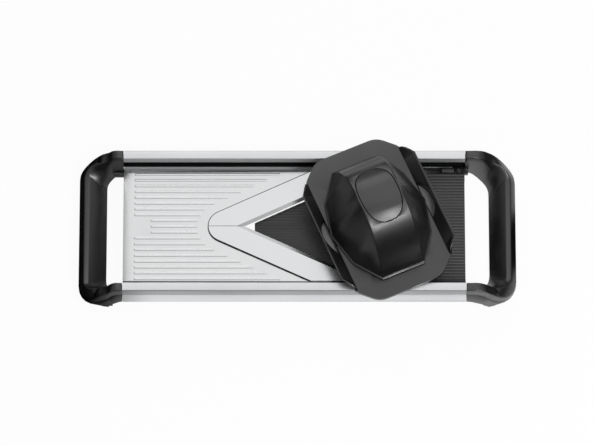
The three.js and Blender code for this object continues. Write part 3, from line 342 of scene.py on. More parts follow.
def wear_group():
    """Rubbed edges: a second colour on the surface's own corners, broken up by noise."""
    tree = bpy.data.node_groups.new("Rubbed Edges", "ShaderNodeTree")
    socket(tree, "Vector", "NodeSocketVector", "INPUT")
    socket(tree, "Color", "NodeSocketColor", "INPUT", (0.5, 0.5, 0.5, 1.0))
    socket(tree, "Edge Color", "NodeSocketColor", "INPUT", (0.8, 0.8, 0.8, 1.0))
    socket(tree, "Amount", "NodeSocketFloat", "INPUT", 0.3)
    socket(tree, "Color", "NodeSocketColor", "OUTPUT")
    start = tree.nodes.new("NodeGroupInput")
    end = tree.nodes.new("NodeGroupOutput")
    shape = tree.nodes.new("ShaderNodeNewGeometry")
    sharp = tree.nodes.new("ShaderNodeMapRange")
    sharp.inputs["From Min"].default_value = CORNER_START
    sharp.inputs["From Max"].default_value = CORNER_FULL
    spots = tree.nodes.new("ShaderNodeTexNoise")
    spots.inputs["Scale"].default_value = 160.0
    spots.inputs["Detail"].default_value = 4.0
    broken = tree.nodes.new("ShaderNodeMath")
    broken.operation = "MULTIPLY"
    amount = tree.nodes.new("ShaderNodeMath")
    amount.operation = "MULTIPLY"
    mix = tree.nodes.new("ShaderNodeMix")
    mix.data_type = "RGBA"
    tree.links.new(shape.outputs["Pointiness"], sharp.inputs["Value"])
    tree.links.new(start.outputs["Vector"], spots.inputs["Vector"])
    tree.links.new(sharp.outputs["Result"], broken.inputs[0])
    tree.links.new(spots.outputs["Fac"], broken.inputs[1])
    tree.links.new(broken.outputs["Value"], amount.inputs[0])
    tree.links.new(start.outputs["Amount"], amount.inputs[1])
    tree.links.new(amount.outputs["Value"], mix.inputs["Factor"])
    tree.links.new(start.outputs["Color"], mix.inputs["A"])
    tree.links.new(start.outputs["Edge Color"], mix.inputs["B"])
    tree.links.new(mix.outputs["Result"], end.inputs["Color"])
    return tree


def shared_group(name, make):
    """A node group that is built once for all the materials."""
    return bpy.data.node_groups.get(name) or make()


# Materials

def new_material(name):
    """A material with its Principled shader and Object coordinates ready."""
    made = bpy.data.materials.new(name)
    made.use_nodes = True
    tree = made.node_tree
    shader = tree.nodes["Principled BSDF"]
    place = tree.nodes.new("ShaderNodeTexCoord")
    return made, tree, shader, place.outputs["Object"]


def add_group(tree, group, vector, **values):
    """Places a node group in a material with its own values."""
    node = tree.nodes.new("ShaderNodeGroup")
    node.node_tree = group
    tree.links.new(vector, node.inputs["Vector"])
    for name, value in values.items():
        node.inputs[name.replace("_", " ")].default_value = value
    return node


def vary(tree, value, low, high):
    """A value from a mask, between two limits."""
    node = tree.nodes.new("ShaderNodeMapRange")
    node.inputs["From Min"].default_value = NOISE_LOW
    node.inputs["From Max"].default_value = NOISE_HIGH
    node.inputs["To Min"].default_value = low
    node.inputs["To Max"].default_value = high
    tree.links.new(value, node.inputs["Value"])
    return node.outputs["Result"]


def bump(tree, height, shader, distance):
    node = tree.nodes.new("ShaderNodeBump")
    node.inputs["Strength"].default_value = 1.0
    node.inputs["Distance"].default_value = distance
    tree.links.new(height, node.inputs["Height"])
    tree.links.new(node.outputs["Normal"], shader.inputs["Normal"])


def rgba(color):
    return (color[0], color[1], color[2], 1.0)


def rubbed_color(color, shade, lift=0.0):
    """The paler colour of a rubbed edge."""
    return rgba([min(1.0, part * shade + lift) for part in color])


def metal_material(name, color, roughness, stretch, depth=0.008 * MM, metal=1.0):
    """Brushed metal; depth is that of its fine lines."""
    made, tree, shader, place = new_material(name)
    shader.inputs["Metallic"].default_value = metal
    lines = add_group(tree, shared_group("Brushed Lines", brushed_group), place, Stretch=stretch)
    wear = add_group(tree, shared_group("Rubbed Edges", wear_group), place, Color=rgba(color),
                     Edge_Color=rubbed_color(color, METAL_RUB_SHADE), Amount=METAL_RUB)
    tree.links.new(wear.outputs["Color"], shader.inputs["Base Color"])
    gloss = vary(tree, lines.outputs["Patch"], roughness - GLOSS_SPREAD, roughness + GLOSS_SPREAD)
    tree.links.new(gloss, shader.inputs["Roughness"])
    bump(tree, lines.outputs["Lines"], shader, depth)
    return made


def plastic_material(name, color, roughness, grain=2600.0, depth=0.02 * MM, level=1.0):
    """Moulded plastic; grain and depth are those of its surface, level is its gloss."""
    made, tree, shader, place = new_material(name)
    shader.inputs["Specular IOR Level"].default_value = level
    surface = add_group(tree, shared_group("Moulded Grain", grain_group), place, Grain_Scale=grain)
    wear = add_group(tree, shared_group("Rubbed Edges", wear_group), place, Color=rgba(color),
                     Edge_Color=rubbed_color(color, PLASTIC_RUB_SHADE, PLASTIC_RUB_LIFT),
                     Amount=PLASTIC_RUB)
    tree.links.new(wear.outputs["Color"], shader.inputs["Base Color"])
    gloss = vary(tree, surface.outputs["Patch"], roughness - GLOSS_SPREAD, roughness + GLOSS_SPREAD)
    tree.links.new(gloss, shader.inputs["Roughness"])
    bump(tree, surface.outputs["Height"], shader, depth)
    return made


def rail_material():
    settings = bpy.context.scene.slicer_metal
    return metal_material("rail_aluminium", settings.rail_color, settings.rail_roughness, ALONG_RAILS)


# The band's darker colour is painted shade
def shaded_band_material():
    settings = bpy.context.scene.slicer_metal
    return metal_material("rail_shaded_band", settings.band_shade_color, roughness=0.5, stretch=ALONG_RAILS)


def channel_material():
    settings = bpy.context.scene.slicer_metal
    return metal_material("rail_channel", settings.channel_color, roughness=0.6, stretch=ALONG_RAILS,
                          metal=0.45)


def plate_material():
    settings = bpy.context.scene.slicer_metal
    return metal_material("plate_steel", settings.plate_color, roughness=0.26, stretch=ALONG_PLATE)


def blade_material():
    settings = bpy.context.scene.slicer_metal
    return metal_material("blade_steel", settings.blade_color, roughness=0.24, stretch=ACROSS_BLADE,
                          depth=0.003 * MM)


def screw_material():
    return metal_material("screw_steel", BRIGHT_STEEL, roughness=0.3, stretch=ALL_ROUND)


def black_screw_material():
    settings = bpy.context.scene.slicer_metal
    return metal_material("blackened_steel", settings.screw_color, roughness=0.4, stretch=ALL_ROUND)


def handle_material():
    settings = bpy.context.scene.slicer_plastic
    return plastic_material("handle_plastic", settings.handle_color, roughness=0.34)


def guard_material():
    settings = bpy.context.scene.slicer_plastic
    return plastic_material("guard_plastic", settings.guard_color, roughness=0.36, grain=3000.0,
                            depth=0.012 * MM)


def ramp_material():
    settings = bpy.context.scene.slicer_plastic
    return plastic_material("ramp_plastic", settings.ramp_color, roughness=0.5, level=0.6)


def slider_material():
    settings = bpy.context.scene.slicer_plastic
    return plastic_material("slider_plastic", settings.slider_color, roughness=0.45, level=0.5)


def pad_material():
    settings = bpy.context.scene.slicer_plastic
    return plastic_material("pad_pale_grey", settings.pad_color, roughness=0.6, grain=1800.0, level=0.5)


# Near-black material of the painted-shade strips
def painted_shade_material():
    settings = bpy.context.scene.slicer_plastic
    return plastic_material("channel_painted_shade", settings.painted_shade_color, roughness=0.7, level=0.1)


def rubber_material():
    settings = bpy.context.scene.slicer_plastic
    return plastic_material("foot_rubber", settings.rubber_color, roughness=0.8, grain=1500.0,
                            depth=0.05 * MM, level=0.5)


def shared_material(make):
    """One material for all the pieces of a finish."""
    name = make.__name__
    if name not in shared_material.made:
        shared_material.made[name] = make()
    return shared_material.made[name]


shared_material.made = {}


# Mesh helpers

def merged_copy(node):
    """A bmesh of a CAD node with its loose triangles joined into flat faces."""
    bm = bmesh.new()
    bm.from_mesh(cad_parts[node].data)
    bmesh.ops.remove_doubles(bm, verts=bm.verts, dist=WELD)
    bmesh.ops.dissolve_limit(bm, angle_limit=ONE_FLAT, use_dissolve_boundaries=False,
                             verts=bm.verts, edges=bm.edges, delimit=set())
    return bm


def quad_copy(node):
    """A bmesh of a CAD node with its lofted faces kept in quads, which shade smoothly."""
    bm = bmesh.new()
    bm.from_mesh(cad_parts[node].data)
    bmesh.ops.remove_doubles(bm, verts=bm.verts, dist=WELD)
    bmesh.ops.join_triangles(bm, faces=bm.faces, angle_face_threshold=ONE_QUAD,
                             angle_shape_threshold=ANY_SHAPE)
    return bm


def sharp_edges(bm, angle, cut_ends=()):
    """Edges sharper than an angle, apart from those that lie on a cut end."""
    def is_cut(edge):
        return any(all(abs(v.co.x - x) < TINY for v in edge.verts) for x in cut_ends)

    limit = math.radians(angle)
    return [e for e in bm.edges if e.is_manifold and e.calc_face_angle(0.0) > limit and not is_cut(e)]


def round_edges(bm, width, angle=28.0, segments=2, cut_ends=(), clamp=True):
    """Rounds every edge that is sharper than an angle and has room for it."""
    def has_room(edge):
        room = BEVEL_ROOM * width * edge.calc_length()
        return all(face.calc_area() > room for face in edge.link_faces)

    edges = [edge for edge in sharp_edges(bm, angle, cut_ends) if has_room(edge)]
    bmesh.ops.bevel(bm, geom=edges, offset=width, offset_type="OFFSET", affect="EDGES",
                    segments=segments, profile=0.5, material=-1, clamp_overlap=clamp)


def everything(bm):
    return bm.verts[:] + bm.edges[:] + bm.faces[:]


def new_verts(made):
    """The vertices among what an operator made."""
    return [item for item in made["geom"] if isinstance(item, bmesh.types.BMVert)]


def finish_piece(bm, name, body, nodes, make_material, crease=35.0, flat_area=1.0):
    """Turns a bmesh into a shown piece that rides on a body and stands for CAD nodes.

    Edges sharper than crease, in degrees, and faces larger than flat_area aren't shaded smoothly.
    """
    mesh = bpy.data.meshes.new(name)
    bm.to_mesh(mesh)
    bm.free()
    mesh.polygons.foreach_set("use_smooth", [face.area < flat_area for face in mesh.polygons])
    mesh.set_sharp_from_angle(angle=math.radians(crease))
    piece = bpy.data.objects.new(name, mesh)
    bpy.context.scene.collection.objects.link(piece)
    mesh.materials.append(shared_material(make_material))
    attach(piece, body)
    if nodes:
        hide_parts(*nodes)
    return piece


def dress_node(node, body, make_material, width=0.3 * MM, angle=28.0, segments=2, crease=35.0):
    """Shows a CAD node with its edges rounded."""
    bm = merged_copy(node)
    round_edges(bm, width, angle, segments)
    finish_piece(bm, node + "_skin", body, [node], make_material, crease)


def run_along_x(profile, start, end):
    """A profile of (y, z) points run along X."""
    bm = bmesh.new()
    face = bm.faces.new([bm.verts.new((start, y, z)) for y, z in profile])
    pushed = bmesh.ops.extrude_face_region(bm, geom=[face])
    bmesh.ops.translate(bm, vec=(end - start, 0.0, 0.0), verts=new_verts(pushed))
    bmesh.ops.recalc_face_normals(bm, faces=bm.faces)
    return bm


def guard_axes():
    """Middle of the guard in plan, and the turn that lays its long side along Y."""
    low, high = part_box("plunger_stem")
    middle = Vector(((low.x + high.x) / 2, (low.y + high.y) / 2, 0.0))
    return middle, Matrix.Rotation(-GUARD_YAW, 4, "Z")


# Operators, one for each group of pieces

class SLICER_OT_rails(bpy.types.Operator):
    """Dress both aluminium rails"""

    bl_idname = "slicer.rails"
    bl_label = "Rails"

    def execute(self, context):
        width = context.scene.slicer_metal.edge_round
        low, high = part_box("rear_rail")
        for node, side in (("rear_rail", REAR), ("front_rail", FRONT)):
            bm = merged_copy(node)
            round_edges(bm, width, angle=20.0, cut_ends=(low.x, high.x))
            outer = max(abs(v.co.y) for v in bm.verts) - BAND_LEAN
            bmesh.ops.bisect_plane(bm, geom=everything(bm), dist=CUT, plane_no=(0.0, 1.0, 0.0),
                                   plane_co=(0.0, side * CHANNEL_INNER, 0.0))
            for face in bm.faces:
                centre = face.calc_center_median()
                is_side = abs(centre.y) > outer and abs(face.normal.y) > SIDEWAYS
                is_channel = CHANNEL_INNER < abs(centre.y) < CHANNEL_OUTER and centre.z < CHANNEL_TOP
                # Material 1, the upper outer band, is darker by painted shade; material 2 is the channel
                # and shelf
                face.material_index = 2 if is_channel else int(is_side and centre.z > BAND_LOW)
            piece = finish_piece(bm, node + "_skin", "frame", [node], rail_material)
            piece.data.materials.append(shared_material(shaded_band_material))
            piece.data.materials.append(shared_material(channel_material))
        return {"FINISHED"}


class SLICER_OT_channel_shade(bpy.types.Operator):
    """Lay a black strip in each rail's channel as painted shade, and a slide strip on each shelf"""

    bl_idname = "slicer.liners"
    bl_label = "Channel Shade Strips"

    def execute(self, context):
        low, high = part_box("rear_rail")
        # Painted shade: a black strip where each channel's recess lies in shadow
        for name, side in (("rear_channel_painted_shade", REAR), ("front_channel_painted_shade", FRONT)):
            profile = [(side * y, z) for y, z in CHANNEL_SHADE_PROFILE]
            bm = run_along_x(profile, low.x - CHANNEL_SHADE_PAST_END, high.x + CHANNEL_SHADE_PAST_END)
            round_edges(bm, width=0.12 * MM, angle=40.0)
            finish_piece(bm, name, "frame", [], painted_shade_material)
        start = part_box("rear_wedge_bar")[0].x
        for name, side in (("rear_slide_strip", REAR), ("front_slide_strip", FRONT)):
            profile = [(side * y, z) for y, z in STRIP_PROFILE]
            bm = run_along_x(profile, start, high.x - STRIP_END_GAP)
            round_edges(bm, width=0.04 * MM, angle=40.0)
            finish_piece(bm, name, "frame", [], ramp_material)
        return {"FINISHED"}


class SLICER_OT_handles(bpy.types.Operator):
    """Dress the two loop handles"""

    bl_idname = "slicer.handles"
    bl_label = "Loop Handles"

    def execute(self, context):
        width = context.scene.slicer_plastic.handle_round
        low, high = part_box("rear_rail")
        ends = (low.x - CLEARANCE, high.x + CLEARANCE)
        for node in ("right_handle", "left_handle"):
            bm = quad_copy(node)
            round_edges(bm, width, angle=24.0, segments=3, cut_ends=ends, clamp=False)
            finish_piece(bm, node + "_skin", "frame", [node], handle_material,
                         crease=42.0)
        return {"FINISHED"}


class SLICER_OT_feet(bpy.types.Operator):
    """Dress the four rubber feet"""

    bl_idname = "slicer.feet"
    bl_label = "Rubber Feet"

    def execute(self, context):
        for number in range(1, 5):
            dress_node(f"rubber_foot_{number}", "frame", rubber_material, width=0.5 * MM,
                       angle=30.0, segments=3)
        return {"FINISHED"}


def cut_recess(bm):
    """Sinks a drive socket into the flat face of a screw's head."""
    flats = [face for face in bm.faces if abs(face.normal.z) > LEVEL]
    flats.sort(key=lambda face: face.calc_center_median().z)
    head = max((flats[0], flats[-1]), key=lambda face: face.calc_area())
    size = SOCKET_SHARE * head.calc_perimeter() / (2 * math.pi)
    bmesh.ops.inset_individual(bm, faces=[head], thickness=size)
    bmesh.ops.inset_individual(bm, faces=[head], thickness=size / 8, depth=-size)


class SLICER_OT_screws(bpy.types.Operator):
    """Dress every screw"""

    bl_idname = "slicer.screws"
    bl_label = "Screws"

    def execute(self, context):
        groups = [
            ("handle_screw", 4, "frame", black_screw_material),
            ("carrier_screw", 4, "frame", screw_material),
            ("brace_screw", 2, "frame", screw_material),
            ("slider_screw", 2, "slider", black_screw_material),
            ("guard_screw", 4, "guard", screw_material),
        ]
        for stem, count, body, make_material in groups:
            for number in range(1, count + 1):
                node = f"{stem}_{number}"
                bm = merged_copy(node)
                cut_recess(bm)
                round_edges(bm, width=0.2 * MM, angle=40.0)
                finish_piece(bm, node + "_skin", body, [node], make_material)
        return {"FINISHED"}


class SLICER_OT_plate(bpy.types.Operator):
    """Dress the ribbed outfeed plate"""

    bl_idname = "slicer.plate"
    bl_label = "Outfeed Plate"

    def execute(self, context):
        settings = context.scene.slicer_metal
        bm = merged_copy("outfeed_plate")
        top = max(v.co.z for v in bm.verts)
        deck = top - RIB_HEIGHT
        widen = settings.bead_width / RIB_WIDTH
        for vert in bm.verts:
            if vert.co.z < deck - TINY:
                continue
            middle = RIB_PITCH * round(vert.co.y / RIB_PITCH)
            offset = vert.co.y - middle
            if abs(offset) < RIB_REACH:
                is_crest = vert.co.z > deck + TINY
                vert.co.y = middle + offset * (widen * BEAD_CREST_SHARE if is_crest else widen)
                vert.co.z = deck + (settings.bead_height if is_crest else 0.0)
        round_edges(bm, width=0.2 * MM, angle=8.0)
        finish_piece(bm, "outfeed_plate_skin", "frame", ["outfeed_plate"], plate_material,
                     flat_area=DECK_AREA)
        return {"FINISHED"}


def blade_shadow_strip(node, side, deck):
    """A thin black strip along a blade's back, painted shadow of the gap between blade and plate."""
    bm = merged_copy(node)
    low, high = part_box(node)

    def is_back(face):
        faces_out = LEANING < side * face.normal.y < LEVEL or face.normal.x < -LEANING
        return abs(face.normal.z) < NEARLY_UPRIGHT and faces_out

    bmesh.ops.delete(bm, geom=[face for face in bm.faces if not is_back(face)], context="FACES")
    for vert in bm.verts:
        vert.co.z = deck + TINY if vert.co.z < low.z + TINY else high.z - SHADOW_STRIP_DROP
    bm.normal_update()
    bmesh.ops.solidify(bm, geom=bm.faces[:], thickness=-SHADOW_STRIP_WIDTH)
    bmesh.ops.recalc_face_normals(bm, faces=bm.faces)
    return bm


class SLICER_OT_blades(bpy.types.Operator):
    """Dress the two halves of the V blade and what carries them"""

    bl_idname = "slicer.blades"
    bl_label = "V Blade"

    def execute(self, context):
        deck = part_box("outfeed_plate")[1].z - RIB_HEIGHT
        for node, side in (("rear_blade", REAR), ("front_blade", FRONT)):
            dress_node(node, "frame", blade_material, width=0.1 * MM, angle=20.0, crease=8.0)
            # Painted shadow: a black strip along each blade's back
            bm = blade_shadow_strip(node, side, deck)
            finish_piece(bm, node + "_rim", "frame", [], painted_shade_material)
        dress_node("blade_carrier", "frame", handle_material)
        dress_node("cross_brace", "frame", handle_material, width=0.4 * MM)
        return {"FINISHED"}


class SLICER_OT_ramp(bpy.types.Operator):
    """Dress the feed ramp and its thickness slider"""

    bl_idname = "slicer.ramp"
    bl_label = "Feed Ramp"

    def execute(self, context):
        bm = merged_copy("feed_ramp")
        low = max(v.co.z for v in bm.verts if RAMP_TOP - RAMP_RIB < v.co.z < RAMP_TOP - TINY)
        for vert in bm.verts:
            if abs(vert.co.z - low) < TINY:
                vert.co.z = RAMP_TOP - RAMP_GROOVE
        round_edges(bm, width=0.08 * MM, angle=8.0)
        finish_piece(bm, "feed_ramp_skin", "ramp", ["feed_ramp"], ramp_material,
                     crease=60.0)
        for node in ("rear_wedge_bar", "front_wedge_bar"):
            dress_node(node, "slider", slider_material)
        dress_node("slider_grip", "slider", handle_material, width=0.25 * MM)
        return {"FINISHED"}


def spread_foot(bm, middle):
    """Draws the foot of the dome's collar out to a sloped rim."""
    low = min(v.co.z for v in bm.verts)
    bmesh.ops.bisect_plane(bm, geom=everything(bm), dist=CUT, plane_no=(0.0, 0.0, 1.0),
                           plane_co=(0.0, 0.0, low + FOOT_HEIGHT))
    foot = [v.co for v in bm.verts if v.co.z < low + FOOT_HEIGHT + TINY]

    def is_outermost(face):
        centre = face.calc_center_median()
        is_wall = abs(face.normal.z) < UPRIGHT and centre.z < low + FOOT_HEIGHT
        return is_wall and all((place - centre).dot(face.normal) < TINY for place in foot)

    walls = [face for face in bm.faces if is_outermost(face)]
    pushed = bmesh.ops.extrude_face_region(bm, geom=walls)
    for vert in new_verts(pushed):
        out = (vert.co - middle) * Vector((1.0, 1.0, 0.0))
        vert.co += out.normalized() * FOOT_REACH
        if vert.co.z > low + TINY:
            vert.co.z -= FOOT_REACH * FOOT_SLOPE


def tilt_brims(bm, middle, turn):
    """Lets the brims' narrow tops slope down towards the dome."""
    for vert in bm.verts:
        place = turn @ (vert.co - middle)
        if vert.co.z < BRIM_TOP - BRIM_END_DROP:
            continue
        crest = BRIM_CREST if abs(place.y) < BRIM_STRAIGHT else BRIM_END_CREST
        if abs(place.x) < crest:
            vert.co.z -= BRIM_TILT


def is_pocket_floor(face, middle, turn):
    """Whether a flange's face is the floor of a finger pocket."""
    place = turn @ (face.calc_center_median() - middle)
    return face.normal.z > LEVEL and abs(place.z - POCKET_FLOOR) < TINY and abs(place.x) > POCKET_INNER


def pad_blocks(middle, turn):
    """The two finger pads, raised from the floors of the flange's pockets."""
    bm = merged_copy("guard_flange")
    others = [face for face in bm.faces if not is_pocket_floor(face, middle, turn)]
    bmesh.ops.delete(bm, geom=others, context="FACES")
    pushed = bmesh.ops.extrude_face_region(bm, geom=bm.faces[:])
    bmesh.ops.translate(bm, vec=(0.0, 0.0, PAD_HEIGHT), verts=new_verts(pushed))
    bmesh.ops.translate(bm, vec=(0.0, 0.0, TINY), verts=bm.verts)
    bmesh.ops.recalc_face_normals(bm, faces=bm.faces)
    return bm


class SLICER_OT_guard(bpy.types.Operator):
    """Dress the hand guard's flange and dome"""

    bl_idname = "slicer.guard"
    bl_label = "Hand Guard"

    def execute(self, context):
        middle, turn = guard_axes()
        bm = merged_copy("guard_flange")
        tilt_brims(bm, middle, turn)
        round_edges(bm, width=0.4 * MM, angle=18.0, segments=3)
        finish_piece(bm, "guard_flange_skin", "guard", ["guard_flange"], guard_material)
        bm = pad_blocks(middle, turn)
        round_edges(bm, width=0.3 * MM, angle=60.0)
        finish_piece(bm, "finger_pads", "guard", [], pad_material)
        bm = merged_copy("guard_dome")
        spread_foot(bm, middle)
        width = context.scene.slicer_plastic.dome_round
        round_edges(bm, width, angle=14.0, segments=4, clamp=False)
        finish_piece(bm, "guard_dome_skin", "guard", ["guard_dome"], guard_material,
                     crease=30.0)
        return {"FINISHED"}


def wound_spring(low, high):
    """A coil with a round wire and flat closed ends."""
    middle = (low + high) / 2
    radius = (high.x - low.x - SPRING_WIRE) / 2
    bm = bmesh.new()
    made = bmesh.ops.create_circle(bm, cap_ends=False, segments=SPRING_SIDES, radius=SPRING_WIRE / 2)
    place = Matrix.Translation((middle.x + radius, middle.y, low.z + SPRING_WIRE / 2))
    bmesh.ops.transform(bm, matrix=place @ Matrix.Rotation(math.pi / 2, 4, "X"), verts=made["verts"])
    climb = high.z - low.z - SPRING_WIRE
    ring = list(bm.edges)
    for turns, share in SPRING_TURNS:
        steps = round(turns * SPRING_STEPS)
        spun = bmesh.ops.spin(bm, geom=ring, cent=middle, axis=(0.0, 0.0, 1.0), angle=turns * 2 * math.pi,
                              dvec=(0.0, 0.0, climb * share / steps), steps=steps)
        ring = [item for item in spun["geom_last"] if isinstance(item, bmesh.types.BMEdge)]
    bmesh.ops.holes_fill(bm, edges=[edge for edge in bm.edges if edge.is_boundary], sides=0)
    bmesh.ops.recalc_face_normals(bm, faces=bm.faces)
    return bm


class SLICER_OT_plunger(bpy.types.Operator):
    """Dress the button, stem, clip, spike plate and spring"""

    bl_idname = "slicer.plunger"
    bl_label = "Plunger"

    def execute(self, context):
        dress_node("guard_button", "plunger", guard_material, width=0.8 * MM,
                   angle=20.0, segments=3)
        dress_node("plunger_stem", "plunger", slider_material, width=0.2 * MM, angle=40.0)
        dress_node("retaining_clip", "plunger", screw_material, width=0.1 * MM, angle=40.0)
        dress_node("spike_plate", "plunger", slider_material, angle=40.0)
        low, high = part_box("return_spring")
        bm = wound_spring(low, high)
        spring = finish_piece(bm, "return_spring_skin", "guard", ["return_spring"],
                              screw_material, crease=80.0)
        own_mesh(spring)
        return {"FINISHED"}


def add_lamp(name, location, aim, size_x, size_y, power):
    """A softbox that points at a place and isn't seen by the camera."""
    data = bpy.data.lights.new(name, "AREA")
    data.shape = "RECTANGLE"
    data.size = size_x
    data.size_y = size_y
    data.energy = power
    lamp = bpy.data.objects.new(name, data)
    lamp.location = location
    lamp.rotation_mode = "QUATERNION"
    lamp.rotation_quaternion = (Vector(aim) - Vector(location)).to_track_quat("-Z", "Y")
    lamp.visible_camera = False
    bpy.context.scene.collection.objects.link(lamp)


def ramp_value(tree, value, full, none):
    """One up to a distance and nothing from another on, or the other way round."""
    node = tree.nodes.new("ShaderNodeMapRange")
    node.interpolation_type = "SMOOTHSTEP"
    node.inputs["From Min"].default_value = min(full, none)
    node.inputs["From Max"].default_value = max(full, none)
    node.inputs["To Min"].default_value = float(full < none)
    node.inputs["To Max"].default_value = float(full > none)
    tree.links.new(value, node.inputs["Value"])
    return node.outputs["Result"]


def calculate(tree, operation, first, second=None):
    """A Math node on numbers or on other nodes' outputs."""
    node = tree.nodes.new("ShaderNodeMath")
    node.operation = operation
    for index, value in enumerate((first, second)):
        if isinstance(value, float):
            node.inputs[index].default_value = value
        elif value is not None:
            tree.links.new(value, node.inputs[index])
    return node.outputs["Value"]


def floor_material():
    """White to the camera with a faint shadow; to glossy rays dark but for glowing pools, painted
    reflections that the slicer mirrors.
    """
    made, tree, shader, place = new_material("floor")
    shader.inputs["Base Color"].default_value = (0.9, 0.9, 0.9, 1.0)
    shader.inputs["Roughness"].default_value = 0.9
    shader.inputs["Specular IOR Level"].default_value = 0.0
    split = tree.nodes.new("ShaderNodeSeparateXYZ")
    tree.links.new(place, split.inputs["Vector"])
    along = calculate(tree, "ABSOLUTE", calculate(tree, "SUBTRACT", split.outputs["X"], POOL_MIDDLE))
    across = calculate(tree, "ABSOLUTE", split.outputs["Y"])
    near = calculate(tree, "MULTIPLY", ramp_value(tree, across, POOL_WIDTH, POOL_WIDTH + POOL_FADE),
                     ramp_value(tree, across, POOL_START, POOL_START - POOL_EDGE))
    far = calculate(tree, "MULTIPLY", ramp_value(tree, split.outputs["Y"], FAR_END, FAR_END + POOL_FADE),
                    ramp_value(tree, split.outputs["Y"], FAR_START, FAR_START - POOL_FADE))
    # Painted reflections: where the floor glows for glossy rays
    pool = calculate(tree, "MULTIPLY", calculate(tree, "MAXIMUM", near, far),
                     ramp_value(tree, along, POOL_LENGTH, POOL_LENGTH + POOL_FADE))
    path = tree.nodes.new("ShaderNodeLightPath")
    glow = tree.nodes.new("ShaderNodeEmission")
    strength = calculate(tree, "MAXIMUM", path.outputs["Is Camera Ray"], pool)
    tree.links.new(strength, glow.inputs["Strength"])
    seen = calculate(tree, "MULTIPLY", path.outputs["Is Camera Ray"], WHITE_SHARE)
    share = calculate(tree, "MAXIMUM", seen, path.outputs["Is Glossy Ray"])
    share = calculate(tree, "MAXIMUM", share, path.outputs["Is Transmission Ray"])
    mix = tree.nodes.new("ShaderNodeMixShader")
    tree.links.new(share, mix.inputs["Fac"])
    tree.links.new(shader.outputs["BSDF"], mix.inputs[1])
    tree.links.new(glow.outputs["Emission"], mix.inputs[2])
    tree.links.new(mix.outputs["Shader"], tree.nodes["Material Output"].inputs["Surface"])
    return made


def world_light(strength, mirrored):
    """Even light, mirrored as a pale room above a dark horizon, and white to the camera."""
    world = bpy.data.worlds.new("studio")
    bpy.context.scene.world = world
    world.use_nodes = True
    tree = world.node_tree
    path = tree.nodes.new("ShaderNodeLightPath")
    level = tree.nodes.new("ShaderNodeMapRange")
    place = tree.nodes.new("ShaderNodeTexCoord")
    split = tree.nodes.new("ShaderNodeSeparateXYZ")
    room = tree.nodes.new("ShaderNodeMapRange")
    room.interpolation_type = "SMOOTHSTEP"
    room.inputs["From Min"].default_value = math.sin(HORIZON_DARK)
    room.inputs["From Max"].default_value = math.sin(HORIZON_PALE)
    room.inputs["To Min"].default_value = HORIZON_LEVEL
    room.inputs["To Max"].default_value = mirrored
    tree.links.new(place.outputs["Generated"], split.inputs["Vector"])
    tree.links.new(split.outputs["Z"], room.inputs["Value"])
    dimmed = tree.nodes.new("ShaderNodeMapRange")
    dimmed.inputs["To Min"].default_value = strength
    tree.links.new(room.outputs["Result"], dimmed.inputs["To Max"])
    level.inputs["To Max"].default_value = 1.0
    tree.links.new(path.outputs["Is Glossy Ray"], dimmed.inputs["Value"])
    tree.links.new(dimmed.outputs["Result"], level.inputs["To Min"])
    background = tree.nodes["Background"]
    background.inputs["Color"].default_value = (1.0, 1.0, 1.0, 1.0)
    tree.links.new(path.outputs["Is Camera Ray"], level.inputs["Value"])
    tree.links.new(level.outputs["Result"], background.inputs["Strength"])


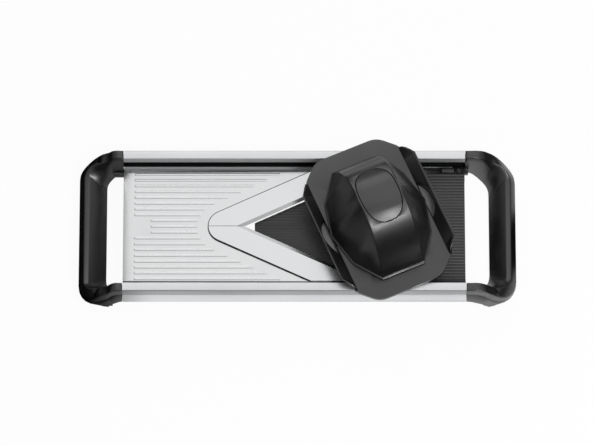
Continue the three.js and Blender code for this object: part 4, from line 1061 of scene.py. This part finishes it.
class SLICER_OT_stage(bpy.types.Operator):
    """Set up the floor, lamps and camera"""

    bl_idname = "slicer.stage"
    bl_label = "Stage"

    def execute(self, context):
        settings = context.scene.slicer_stage
        bm = bmesh.new()
        bmesh.ops.create_grid(bm, x_segments=1, y_segments=1, size=FLOOR_HALF)
        mesh = bpy.data.meshes.new("floor")
        bm.to_mesh(mesh)
        bm.free()
        floor = bpy.data.objects.new("floor", mesh)
        floor.location.z = -FLOOR_DROP
        context.scene.collection.objects.link(floor)
        mesh.materials.append(floor_material())
        world_light(settings.world_strength, settings.mirrored_strength)
        add_lamp("ceiling_softbox", location=(0.3, 0.83, 1.5), aim=(0.3, 0.83, 0.0),
                 size_x=1.85, size_y=1.7, power=settings.ceiling_power)
        add_lamp("rear_softbox", location=(-0.25, 1.95, 1.35), aim=GUARD_TOP,
                 size_x=1.3, size_y=0.9, power=settings.rim_power)
        add_lamp("key_softbox", location=(0.68, -0.80, 1.20), aim=GUARD_TOP,
                 size_x=0.45, size_y=0.45, power=settings.key_power)
        camera_data = bpy.data.cameras.new("camera")
        camera = bpy.data.objects.new("camera", camera_data)
        context.scene.collection.objects.link(camera)
        context.scene.camera = camera
        tilt = settings.elevation
        back = Vector((0.0, -math.cos(tilt), math.sin(tilt)))
        camera.location = Vector(settings.target) + back * settings.distance
        camera.rotation_euler = (math.pi / 2 - tilt, 0.0, 0.0)
        camera_data.lens = camera_data.sensor_width * settings.distance / settings.view_width
        camera_data.clip_end = 2 * settings.distance
        context.scene.view_settings.view_transform = "Standard"
        return {"FINISHED"}


class SLICER_PT_panel(bpy.types.Panel):
    """Lists the steps that build the slicer"""

    bl_idname = "SLICER_PT_panel"
    bl_label = "V-Blade Slicer"
    bl_space_type = "VIEW_3D"
    bl_region_type = "UI"
    bl_category = "Slicer"

    def draw(self, context):
        for operator in OPERATORS:
            self.layout.operator(operator.bl_idname)


SETTINGS = {
    "slicer_metal": MetalSettings,
    "slicer_plastic": PlasticSettings,
    "slicer_stage": StageSettings,
}
OPERATORS = (
    SLICER_OT_rails,
    SLICER_OT_channel_shade,
    SLICER_OT_handles,
    SLICER_OT_feet,
    SLICER_OT_screws,
    SLICER_OT_plate,
    SLICER_OT_blades,
    SLICER_OT_ramp,
    SLICER_OT_guard,
    SLICER_OT_plunger,
    SLICER_OT_stage,
)


def register():
    for name, settings in SETTINGS.items():
        bpy.utils.register_class(settings)
        setattr(bpy.types.Scene, name, bpy.props.PointerProperty(type=settings))
    for operator in OPERATORS:
        bpy.utils.register_class(operator)
    bpy.utils.register_class(SLICER_PT_panel)


def unregister():
    bpy.utils.unregister_class(SLICER_PT_panel)
    for operator in reversed(OPERATORS):
        bpy.utils.unregister_class(operator)
    for name, settings in SETTINGS.items():
        delattr(bpy.types.Scene, name)
        bpy.utils.unregister_class(settings)


def main():
    register()
    for operator in OPERATORS:
        module, name = operator.bl_idname.split(".")
        getattr(getattr(bpy.ops, module), name)()


if __name__ == "__main__":
    main()
